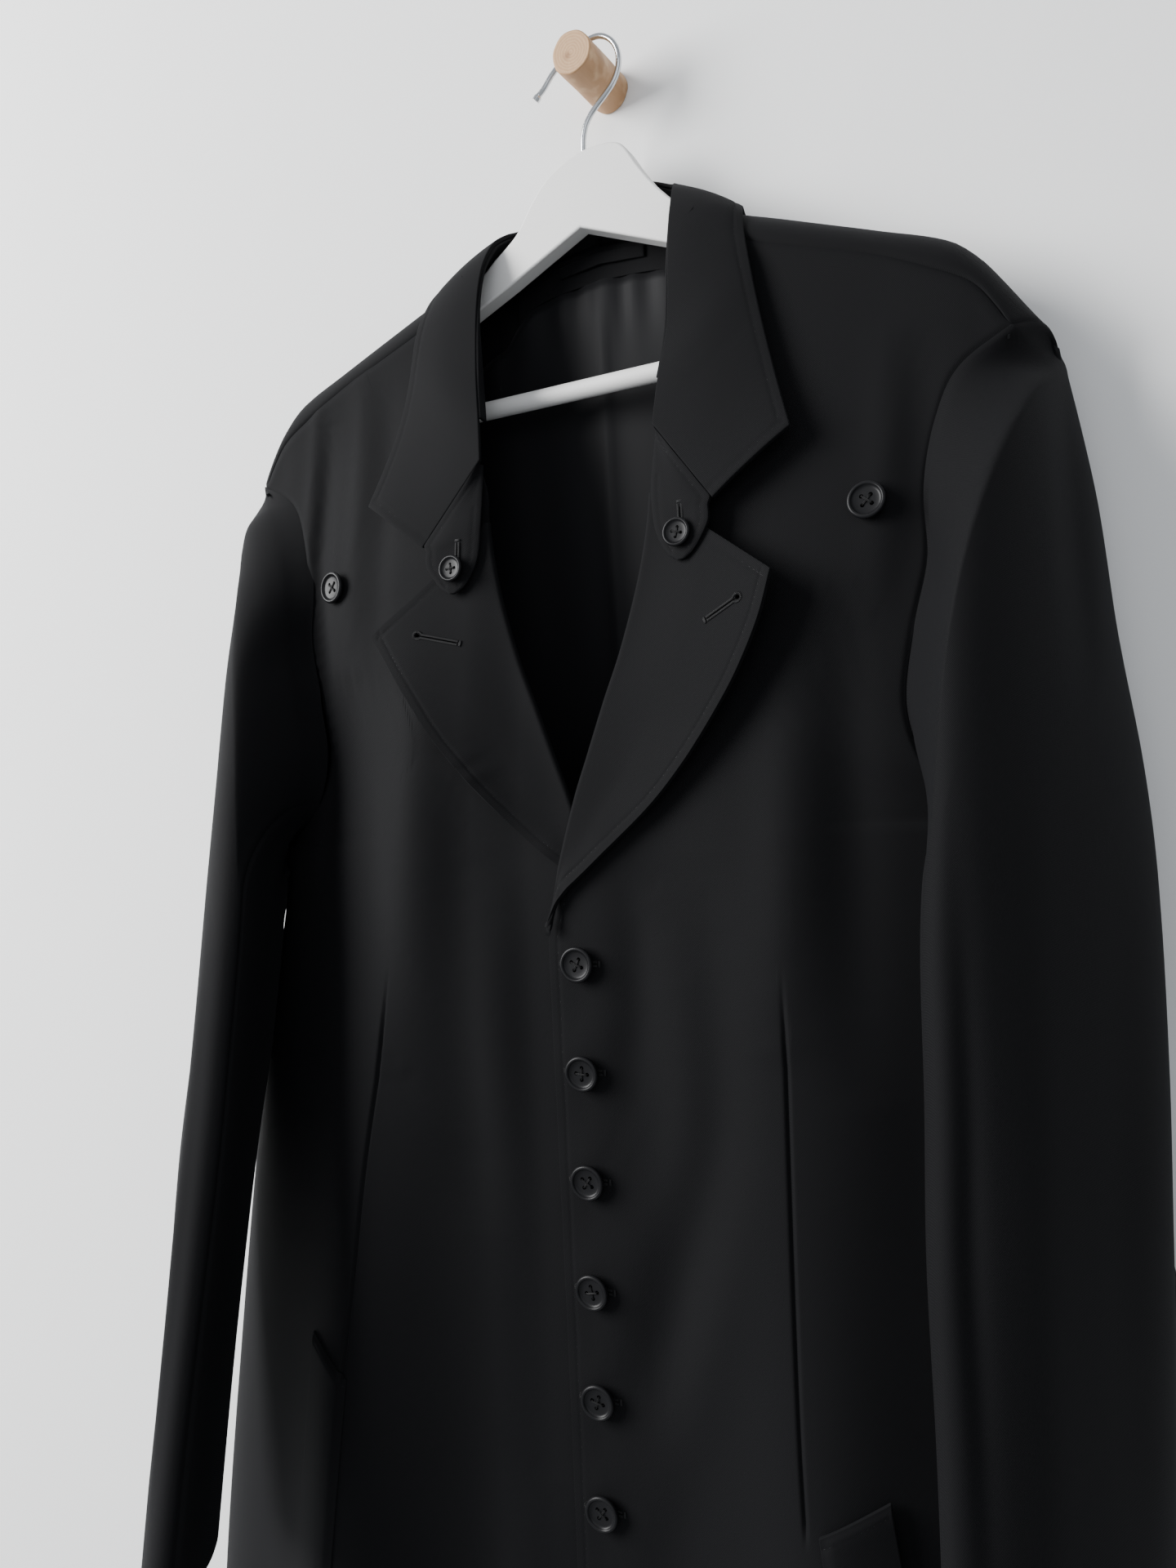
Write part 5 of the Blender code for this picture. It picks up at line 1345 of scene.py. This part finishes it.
def button_blank(diameter):
    """A button with a raised rim and a dished middle, its back at the origin and its axis +Z."""
    shape = bmesh.new()
    radius = diameter / 2
    verts = [shape.verts.new((share * radius, 0.0, height * diameter)) for share, height in BUTTON_SECTION]
    edges = [shape.edges.new(pair) for pair in zip(verts, verts[1:])]
    bmesh.ops.spin(shape, geom=verts + edges, axis=(0, 0, 1), cent=(0, 0, 0), angle=2 * pi,
                   steps=BUTTON_SIDES, use_merge=True)
    bmesh.ops.remove_doubles(shape, verts=shape.verts, dist=1e-6)
    bmesh.ops.recalc_face_normals(shape, faces=shape.faces)
    return mesh_of(shape, "button")


def drilled_button(diameter):
    """A button's mesh with its four holes cut through."""
    solid = bpy.data.objects.new("button blank", button_blank(diameter))
    bpy.context.scene.collection.objects.link(solid)
    cutters = bmesh.new()
    offset, radius = THREAD_HOLE_OFFSET * diameter, THREAD_HOLE_RADIUS * diameter
    for x in (-1, 1):
        for y in (-1, 1):
            bmesh.ops.create_cone(cutters, cap_ends=True, segments=16, radius1=radius, radius2=radius,
                                  depth=diameter, matrix=Matrix.Translation((x * offset, y * offset, 0)))
    tool = bpy.data.objects.new("button drill", mesh_of(cutters, "button drill"))
    bpy.context.scene.collection.objects.link(tool)
    cut = solid.modifiers.new("holes", "BOOLEAN")
    cut.object = tool
    cut.operation = "DIFFERENCE"
    cut.solver = "EXACT"
    bpy.context.view_layer.update()
    result = bpy.data.meshes.new_from_object(solid.evaluated_get(bpy.context.evaluated_depsgraph_get()))
    bpy.data.objects.remove(solid)
    bpy.data.objects.remove(tool)
    return result


def button_threads(diameter):
    """Placings, in the button's own frame, of the thread: crossed over its four holes, down through them
    and in a shank under the button."""
    hole = THREAD_HOLE_OFFSET * diameter
    top = BUTTON_FLOOR * diameter
    up, sideways = (0, 0, 1), (0, 1, 0)
    placings = []
    for way, lift in ((1, 0.0), (-1, 0.00035)):
        along = np.array((2 * hole, 2 * hole * way, 0.0))
        side = np.cross(along / np.linalg.norm(along), up)
        for offset in (-BUTTON_THREAD_SPREAD, BUTTON_THREAD_SPREAD):
            middle = side * offset + (0, 0, top + lift)
            placings.append(frame_at(middle, along, up, np.linalg.norm(along) * 1.12, BUTTON_THREAD))
    for x, y in ((-hole, -hole), (hole, hole), (-hole, hole), (hole, -hole)):
        for offset in (-0.0003, 0.0003):
            placings.append(frame_at((x + offset, y, top / 2), up, sideways, top * 1.2, BUTTON_THREAD))
    for x in (-0.0008, 0.0008):
        for y in (-0.0008, 0.0008):
            placings.append(frame_at((x, y, -0.0004), up, sideways, 0.0022, 0.0006))
    return placings


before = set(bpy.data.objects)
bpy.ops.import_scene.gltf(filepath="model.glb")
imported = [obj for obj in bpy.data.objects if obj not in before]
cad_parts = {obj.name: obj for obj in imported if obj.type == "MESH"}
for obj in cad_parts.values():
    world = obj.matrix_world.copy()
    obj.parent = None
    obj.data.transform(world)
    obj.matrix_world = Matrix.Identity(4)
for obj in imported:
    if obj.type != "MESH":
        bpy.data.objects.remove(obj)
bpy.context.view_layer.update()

wool, lining, paint = gabardine(), satin(), white_paint()
chrome, branch, resin, thread = chromed_wire(), peeled_branch(), button_resin(), sewing_thread()
FRONTWARD = np.array((0, -1.0, 0))
BACKWARD = np.array((0, 1.0, 0))
topstitching = {}


def topstitch(name, points, out, rows):
    """Presses rows of stitches into a grid of points and keeps their placings. A row holds its edge, its
    inset and the shares of the edge at which it starts and ends."""
    pressed = np.zeros(points.shape[:2])
    for edge, inset, first, last in rows:
        line, ways = edge_line(points, out, edge, inset)
        sewn = slice(int(len(line) * first), int(len(line) * last))
        line, ways = line[sewn], ways[sewn]
        pressed = np.maximum(pressed, press_line(points, line))
        topstitching.setdefault(name, []).extend(stitches_along(line - ways * STITCH_SINK, ways))
    return points - out * pressed[..., None]


def wool_sheet(node, points, toward, thickness=FOLDED_CLOTH):
    """A piece of the wool that stands for a node."""
    piece = cloth(f"{node}_cloth", points, toward, wool, thickness, node)


for label, side in (("left", -1), ("right", 1)):
    points = front_points(side)
    out = normals(points, FRONTWARD)
    points = seam_dip(points, out, ("top", "last"))
    if side > 0:
        points = topstitch(f"front_{label}", points, out, [("first", TOPSTITCH_INSET, 0.31, 0.995)])
    wool_sheet(f"front_{label}", points, FRONTWARD, CLOTH)

    points = back_points(side)
    out = normals(points, BACKWARD)
    points = seam_dip(points, out, ("top",), 0.0024, 0.0034)
    points = seam_dip(points, out, ("first", "last"))
    wool_sheet(f"back_{label}", points, BACKWARD, CLOTH)

    spans = (
        ("upper", SLEEVE_BACK_SEAM, SLEEVE_FRONT_SEAM, 92),
        ("under", SLEEVE_FRONT_SEAM, SLEEVE_BACK_SEAM + 360, 44),
    )
    for part, from_turn, to_turn, count in spans:
        points, away = sleeve_points(side, from_turn, to_turn, count)
        out = normals(points, away)
        points = seam_dip(points, out, ("top", "first", "last"))
        points, away = sleeve_tuck(points, away, side)
        wool_sheet(f"sleeve_{part}_{label}", points, away, CLOTH)

    points = lapel_points(side)
    out = normals(points, FRONTWARD)
    edge_end = 0.89 if side > 0 else 1.0
    rows = [("last", TOPSTITCH_INSET, 0.02, edge_end), ("top", TOPSTITCH_INSET, 0.15, 0.93)]
    points = topstitch(f"lapel_{label}", points, out, rows)
    wool_sheet(f"lapel_{label}", points, FRONTWARD)

    points = tab_points(side)
    out = normals(points, FRONTWARD)
    rows = [("last", TAB_TOPSTITCH_INSET, 0.06, 0.93), ("first", TAB_TOPSTITCH_INSET, 0.30, 0.93)]
    points = topstitch(f"tab_{label}", points, out, rows)
    wool_sheet(f"collar_tab_{label}", points, FRONTWARD)

    points = pocket_points(side)
    out = normals(points, FRONTWARD)
    points = topstitch(f"pocket_{label}", points, out, [("top", TOPSTITCH_INSET, 0.05, 0.95)])
    wool_sheet(f"pocket_welt_{label}", points, FRONTWARD)

points, away = fall_points()
out = normals(points, away)
rows = [(edge, TOPSTITCH_INSET, 0.05, 0.86) for edge in ("top", "foot")]
points = topstitch("collar", points, out, [("last", TOPSTITCH_INSET, 0.012, 0.988), *rows])
wool_sheet("collar_fall", points, away)

points = stand_points()
wool_sheet("collar_stand", points, points - points.mean(axis=(0, 1)), CLOTH)

points = lining_points()
piece = cloth("back_lining_cloth", points, FRONTWARD, lining, LINING, "back_lining", False)

across, v = np.meshgrid(np.linspace(-0.23, 0.23, 60), np.linspace(1.010, 1.066, 10))
wool_sheet("neck_facing", inside_back(across, v, FACING_DEPTH), FRONTWARD, LINING)

LOOP_HALF = 0.09
across, v = np.meshgrid(np.linspace(-LOOP_HALF, LOOP_HALF, 30), np.linspace(1.022, 1.042, 6))
points = inside_back(across, v, LOOP_DEPTH)
points[..., 1] -= LOOP_SLACK * np.cos(across / LOOP_HALF * pi / 2)
cloth("neck_loop_cloth", points, FRONTWARD, wool, LOOP_THICKNESS, "neck_loop")

for name, placings in topstitching.items():
    scattered(f"{name}_stitches", thread_bead(), placings, thread)


# Buttons, their thread and their buttonholes
def front_spot(x, z, side, lift=0.0):
    """A point on the front's outer face, or at a lift off it, and the face's direction there."""
    step = 0.003

    def face(at_x, at_z):
        return float(outer_front_y(np.array(at_x), np.array(at_z), side)) - lift

    slope_x = (face(x + step, z) - face(x - step, z)) / (2 * step)
    slope_z = (face(x, z + step) - face(x, z - step)) / (2 * step)
    out = np.array((slope_x, -1.0, slope_z))
    return np.array((x, face(x, z), z)), out / np.linalg.norm(out)


def tab_spot(x, z, side, lift):
    """A point at a lift off the front where a tab lies, and the front's direction there."""
    return front_spot(x * side, z, side, float(tab_lift(np.array(x), np.array(z))) + lift)


def lapel_spot(place_at, side, points, out):
    """The lapel's outer face nearest to a place seen from the front."""
    distance = (points[..., 0] - place_at[0] * side) ** 2 + (points[..., 2] - place_at[1]) ** 2
    distance[:, :12] = 1.0
    at = np.unravel_index(np.argmin(distance), distance.shape)
    return points[at], out[at]


def sew_button(name, diameter, spot, out, blank, turn):
    """Places a copy of the drilled button on the cloth, turned about its axis, and sews it on."""
    to_cloth = Vector((0, 0, 1)).rotation_difference(Vector(out)).to_matrix().to_4x4()
    placing = Matrix.Translation(Vector(spot)) @ to_cloth @ Matrix.Rotation(turn, 4, "Z")
    mesh = blank.copy()
    mesh.transform(Matrix.Translation(Vector(HOOK_FOOT)) @ placing)
    piece = place(f"{name}_resin", mesh, resin, name)
    piece.data.set_sharp_from_angle(angle=radians(40))
    placings = [np.array(placing) @ item for item in button_threads(diameter)]
    scattered(f"{name}_thread", thread_bead(), placings, thread)


large, small = drilled_button(FRONT_BUTTON), drilled_button(SMALL_BUTTON)
holes = []
for number, turn in enumerate(FRONT_BUTTON_TURNS):
    z = FRONT_BUTTON_TOP_Z - FRONT_BUTTON_SPACING * number
    spot, out = front_spot(FRONT_BUTTON_X, z, 1, FRONT_BUTTON_LIFT)
    sew_button(f"front_button_{number + 1}", FRONT_BUTTON, spot, out, large, turn)
    (left, out), (right, _) = (front_spot(x, z, 1) for x in FRONT_HOLE_ENDS)
    holes.append((left, right, out))
for label, side in (("left", -1), ("right", 1)):
    spot, out = front_spot(CHEST_BUTTON[0] * side, CHEST_BUTTON[1], side, CHEST_BUTTON_LIFT)
    if side < 0:
        out = out + 3 * LEFT_CHEST_FACE
        out /= np.linalg.norm(out)
    sew_button(f"chest_button_{label}", FRONT_BUTTON, spot, out, large, 0.15 * side)
    spot, out = tab_spot(*TAB_BUTTON, side, TAB_BUTTON_LIFT)
    sew_button(f"tab_button_{label}", SMALL_BUTTON, spot, out, small, 0.55 if side > 0 else 0.85)
    top, out = tab_spot(TAB_HOLE_X[side], TAB_HOLE_ENDS[0], side, TAB_HOLE_LIFT)
    foot_x, foot_z = TAB_HOLE_X[side] + TAB_HOLE_LEAN, TAB_HOLE_ENDS[1]
    foot_lift = float(tab_lift(np.array(TAB_HOLE_X[side]), np.array(foot_z))) + TAB_HOLE_LIFT
    foot, _ = front_spot(foot_x * side, foot_z, side, foot_lift)
    holes.append((foot, top, out))
for side, ends in LAPEL_HOLES.items():
    points = lapel_points(side)
    out = normals(points, FRONTWARD)
    (first, way), (second, _) = (lapel_spot(end, side, points, out) for end in ends)
    holes.append((second, first, way))
threads_and_cut_shades = [buttonhole(*hole) for hole in holes]
# The second set is painted shade: near-black slivers for the shadow inside each buttonhole.
for name, material, part in (("buttonhole_thread", thread, 0), ("buttonhole_painted_shade", painted_cut_shade(), 1)):
    placings = [placing for pair in threads_and_cut_shades for placing in pair[part]]
    scattered(name, thread_bead(), placings, material)

# Hanger: a flat board with its hump, arms and notch
HANGER_ARM = (
    (0.0600, -0.0505),
    (0.0720, -0.0590),
    (0.1100, -0.0758),
    (0.1500, -0.0922),
    (0.1840, -0.1052),
    (0.1990, -0.1145),
    (0.2065, -0.1265),
    (0.2055, -0.1400),
    (0.1960, -0.1480),
    (0.1860, -0.1470),
)
HANGER_UNDER = ((0.1860, -0.1245), (0.1500, -0.1095), (0.1000, -0.0885), (0.0500, -0.0675))
HANGER_HUMP = (
    (-0.0440, -0.0390),
    (-0.0330, -0.0240),
    (-0.0230, -0.0135),
    (-0.0120, -0.0070),
    (0.0000, -0.0032),
    (0.0120, -0.0026),
    (0.0220, -0.0040),
    (0.0280, -0.0085),
    (0.0360, -0.0215),
    (0.0460, -0.0355),
)
HANGER_NOTCH = (-0.0022, -0.0455)


def smooth_line(corners, count):
    """A smooth run of points through the corners of an outline."""
    rows = np.array(corners)
    return [tuple(point) for point in path(rows, np.linspace(0, len(rows) - 1, count))]


arm = smooth_line(HANGER_ARM, 44)
crest = smooth_line([(-HANGER_ARM[0][0], HANGER_ARM[0][1]), *HANGER_HUMP, HANGER_ARM[0]], 60)
under = list(HANGER_UNDER)
outline = arm + under + [HANGER_NOTCH] + [(-x, z) for x, z in reversed(under)]
outline += [(-x, z) for x, z in reversed(arm)] + crest[1:-1]
board = bmesh.new()
verts = [board.verts.new((x, -HANGER_THICKNESS / 2, z)) for x, z in outline]
face = board.faces.new(verts)
extruded = bmesh.ops.extrude_face_region(board, geom=[face])
moved = [item for item in extruded["geom"] if isinstance(item, bmesh.types.BMVert)]
bmesh.ops.translate(board, verts=moved, vec=(0, HANGER_THICKNESS, 0))
bmesh.ops.recalc_face_normals(board, faces=board.faces)
bmesh.ops.translate(board, verts=board.verts, vec=Vector(HOOK_FOOT))
hanger = place("hanger_board", mesh_of(board, "hanger_board"), paint, "hanger_body")
hanger.data.set_sharp_from_angle(angle=radians(60))
ease_edges(hanger, "eased edges", 0.0012, 3, 50)

bar = bmesh.new()
lying = Matrix.Translation(Vector(HOOK_FOOT) + Vector((0, 0, BAR_Z))) @ Matrix.Rotation(pi / 2, 4, "Y")
bmesh.ops.create_cone(bar, cap_ends=True, segments=40, radius1=BAR_RADIUS, radius2=BAR_RADIUS,
                      depth=2 * BAR_HALF_LENGTH, matrix=lying)
rod = place("hanger_rod", mesh_of(bar, "hanger_rod"), paint, "hanger_bar")
rod.data.set_sharp_from_angle(angle=radians(40))

HOOK_ROUTE = (
    (0.0000, -0.0026),
    (0.0002, 0.0050),
    (0.0020, 0.0125),
    (0.0055, 0.0180),
    (0.0100, 0.0226),
    (0.0156, 0.0272),
    (0.0206, 0.0320),
    (0.0238, 0.0376),
    (0.0251, 0.0440),
    (0.0242, 0.0502),
    (0.0213, 0.0556),
    (0.0168, 0.0595),
    (0.0115, 0.0612),
    (0.0040, 0.0606),
    (-0.0030, 0.0588),
    (-0.0090, 0.0550),
    (-0.0170, 0.0492),
    (-0.0230, 0.0428),
    (-0.0268, 0.0398),
    (-0.0278, 0.0388),
    (-0.0292, 0.0375),
)
route = np.array([(x, 0.0, z) for x, z in HOOK_ROUTE])
at = np.linspace(0, len(route) - 1, 150)
radii = WIRE_RADIUS + (HOOK_TIP_RADIUS - WIRE_RADIUS) * smooth((at - len(route) + 3.2) / 0.8)
line = bpy.data.curves.new("hook_wire", "CURVE")
line.dimensions = "3D"
line.bevel_depth = 1.0
line.bevel_resolution = 4
line.use_fill_caps = True
spline = line.splines.new("POLY")
spline.points.add(len(at) - 1)
for point, spot, radius in zip(spline.points, path(route, at) + HOOK_FOOT, radii):
    point.co = (*spot, 1.0)
    point.radius = radius
line.materials.append(chrome)
hook = bpy.data.objects.new("hook_wire", line)
bpy.context.scene.collection.objects.link(hook)
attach(hook, "root")
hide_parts("hanger_hook")

# Peg: a peeled branch end, a little uneven all round and eased at its front edge
peg = bmesh.new()
upright = Matrix.Translation((0, -PEG_LENGTH / 2, 0)) @ Matrix.Rotation(pi / 2, 4, "X")
bmesh.ops.create_cone(peg, cap_ends=True, segments=72, radius1=PEG_RADIUS, radius2=PEG_RADIUS,
                      depth=PEG_LENGTH, matrix=upright)
long_edges = [edge for edge in peg.edges if abs(edge.verts[0].co.y - edge.verts[1].co.y) > PEG_LENGTH / 2]
bmesh.ops.subdivide_edges(peg, edges=long_edges, cuts=30, use_grid_fill=False)
for vertex in peg.verts:
    x, y, z = vertex.co
    turn = np.arctan2(z, x)
    bulge = 0.00022 * sin(3 * turn + y * 90) + 0.00012 * sin(7 * turn + 1.3 + y * 160)
    bulge += 0.00035 * np.exp(-(((y + 0.028) / 0.006) ** 2)) * np.exp(-((turn + 0.9) ** 2) / 0.2)
    grow = 1 + bulge / PEG_RADIUS
    vertex.co.x, vertex.co.z = x * grow, z * grow
stump = place("peeled_peg", mesh_of(peg, "peeled_peg"), branch, "wall_peg")
stump.data.set_sharp_from_angle(angle=radians(60))
ease_edges(stump, "eased end", 0.0009, 3, 50)

# Wall, light and camera
plaster = bmesh.new()
facing_room = Matrix.Rotation(pi / 2, 4, "X")
bmesh.ops.create_grid(plaster, x_segments=1, y_segments=1, size=3.0, matrix=facing_room)
mesh = mesh_of(plaster, "wall")
mesh.materials.append(wall_paint())
wall = bpy.data.objects.new("wall", mesh)
bpy.context.scene.collection.objects.link(wall)


def area_light(name, spot, aim, size, power, colour):
    """A rectangular light at a spot, aimed at a point."""
    lamp = bpy.data.lights.new(name, "AREA")
    lamp.shape = "RECTANGLE"
    lamp.size, lamp.size_y = size
    lamp.energy = power
    lamp.color = linear(colour)[:3]
    holder = bpy.data.objects.new(name, lamp)
    holder.location = spot
    holder.rotation_euler = (Vector(aim) - Vector(spot)).to_track_quat("-Z", "Y").to_euler()
    bpy.context.scene.collection.objects.link(holder)


area_light("window", (-1.9, -1.5, 0.45), (0.0, -0.05, -0.45), (1.3, 1.8), 168, "#ffffff")
area_light("room fill", (1.2, -2.6, 0.4), (0.0, 0.0, -0.6), (2.0, 2.0), 14, "#f4f7ff")
world = bpy.data.worlds.new("pale room")
world.use_nodes = True
world.node_tree.nodes["Background"].inputs["Color"].default_value = linear("#e9edf2")
world.node_tree.nodes["Background"].inputs["Strength"].default_value = 0.66
bpy.context.scene.world = world

# Camera: the place and the directions that were solved from the photo
CAMERA_SPOT = (0.3054, -0.6511, -0.4135)
CAMERA_RIGHT = Vector((0.8820, 0.4678, -0.0540))
CAMERA_FORWARD = Vector((-0.4680, 0.8836, 0.0108))
lens = bpy.data.cameras.new("photo camera")
lens.sensor_width = 36
lens.lens = 28.16
lens.clip_start = 0.02
camera = bpy.data.objects.new("photo camera", lens)
upward = CAMERA_RIGHT.cross(CAMERA_FORWARD).normalized()
turned = Matrix((CAMERA_RIGHT, upward, -CAMERA_FORWARD)).transposed().to_4x4()
camera.matrix_world = Matrix.Translation(CAMERA_SPOT) @ turned
bpy.context.scene.collection.objects.link(camera)
bpy.context.scene.camera = camera
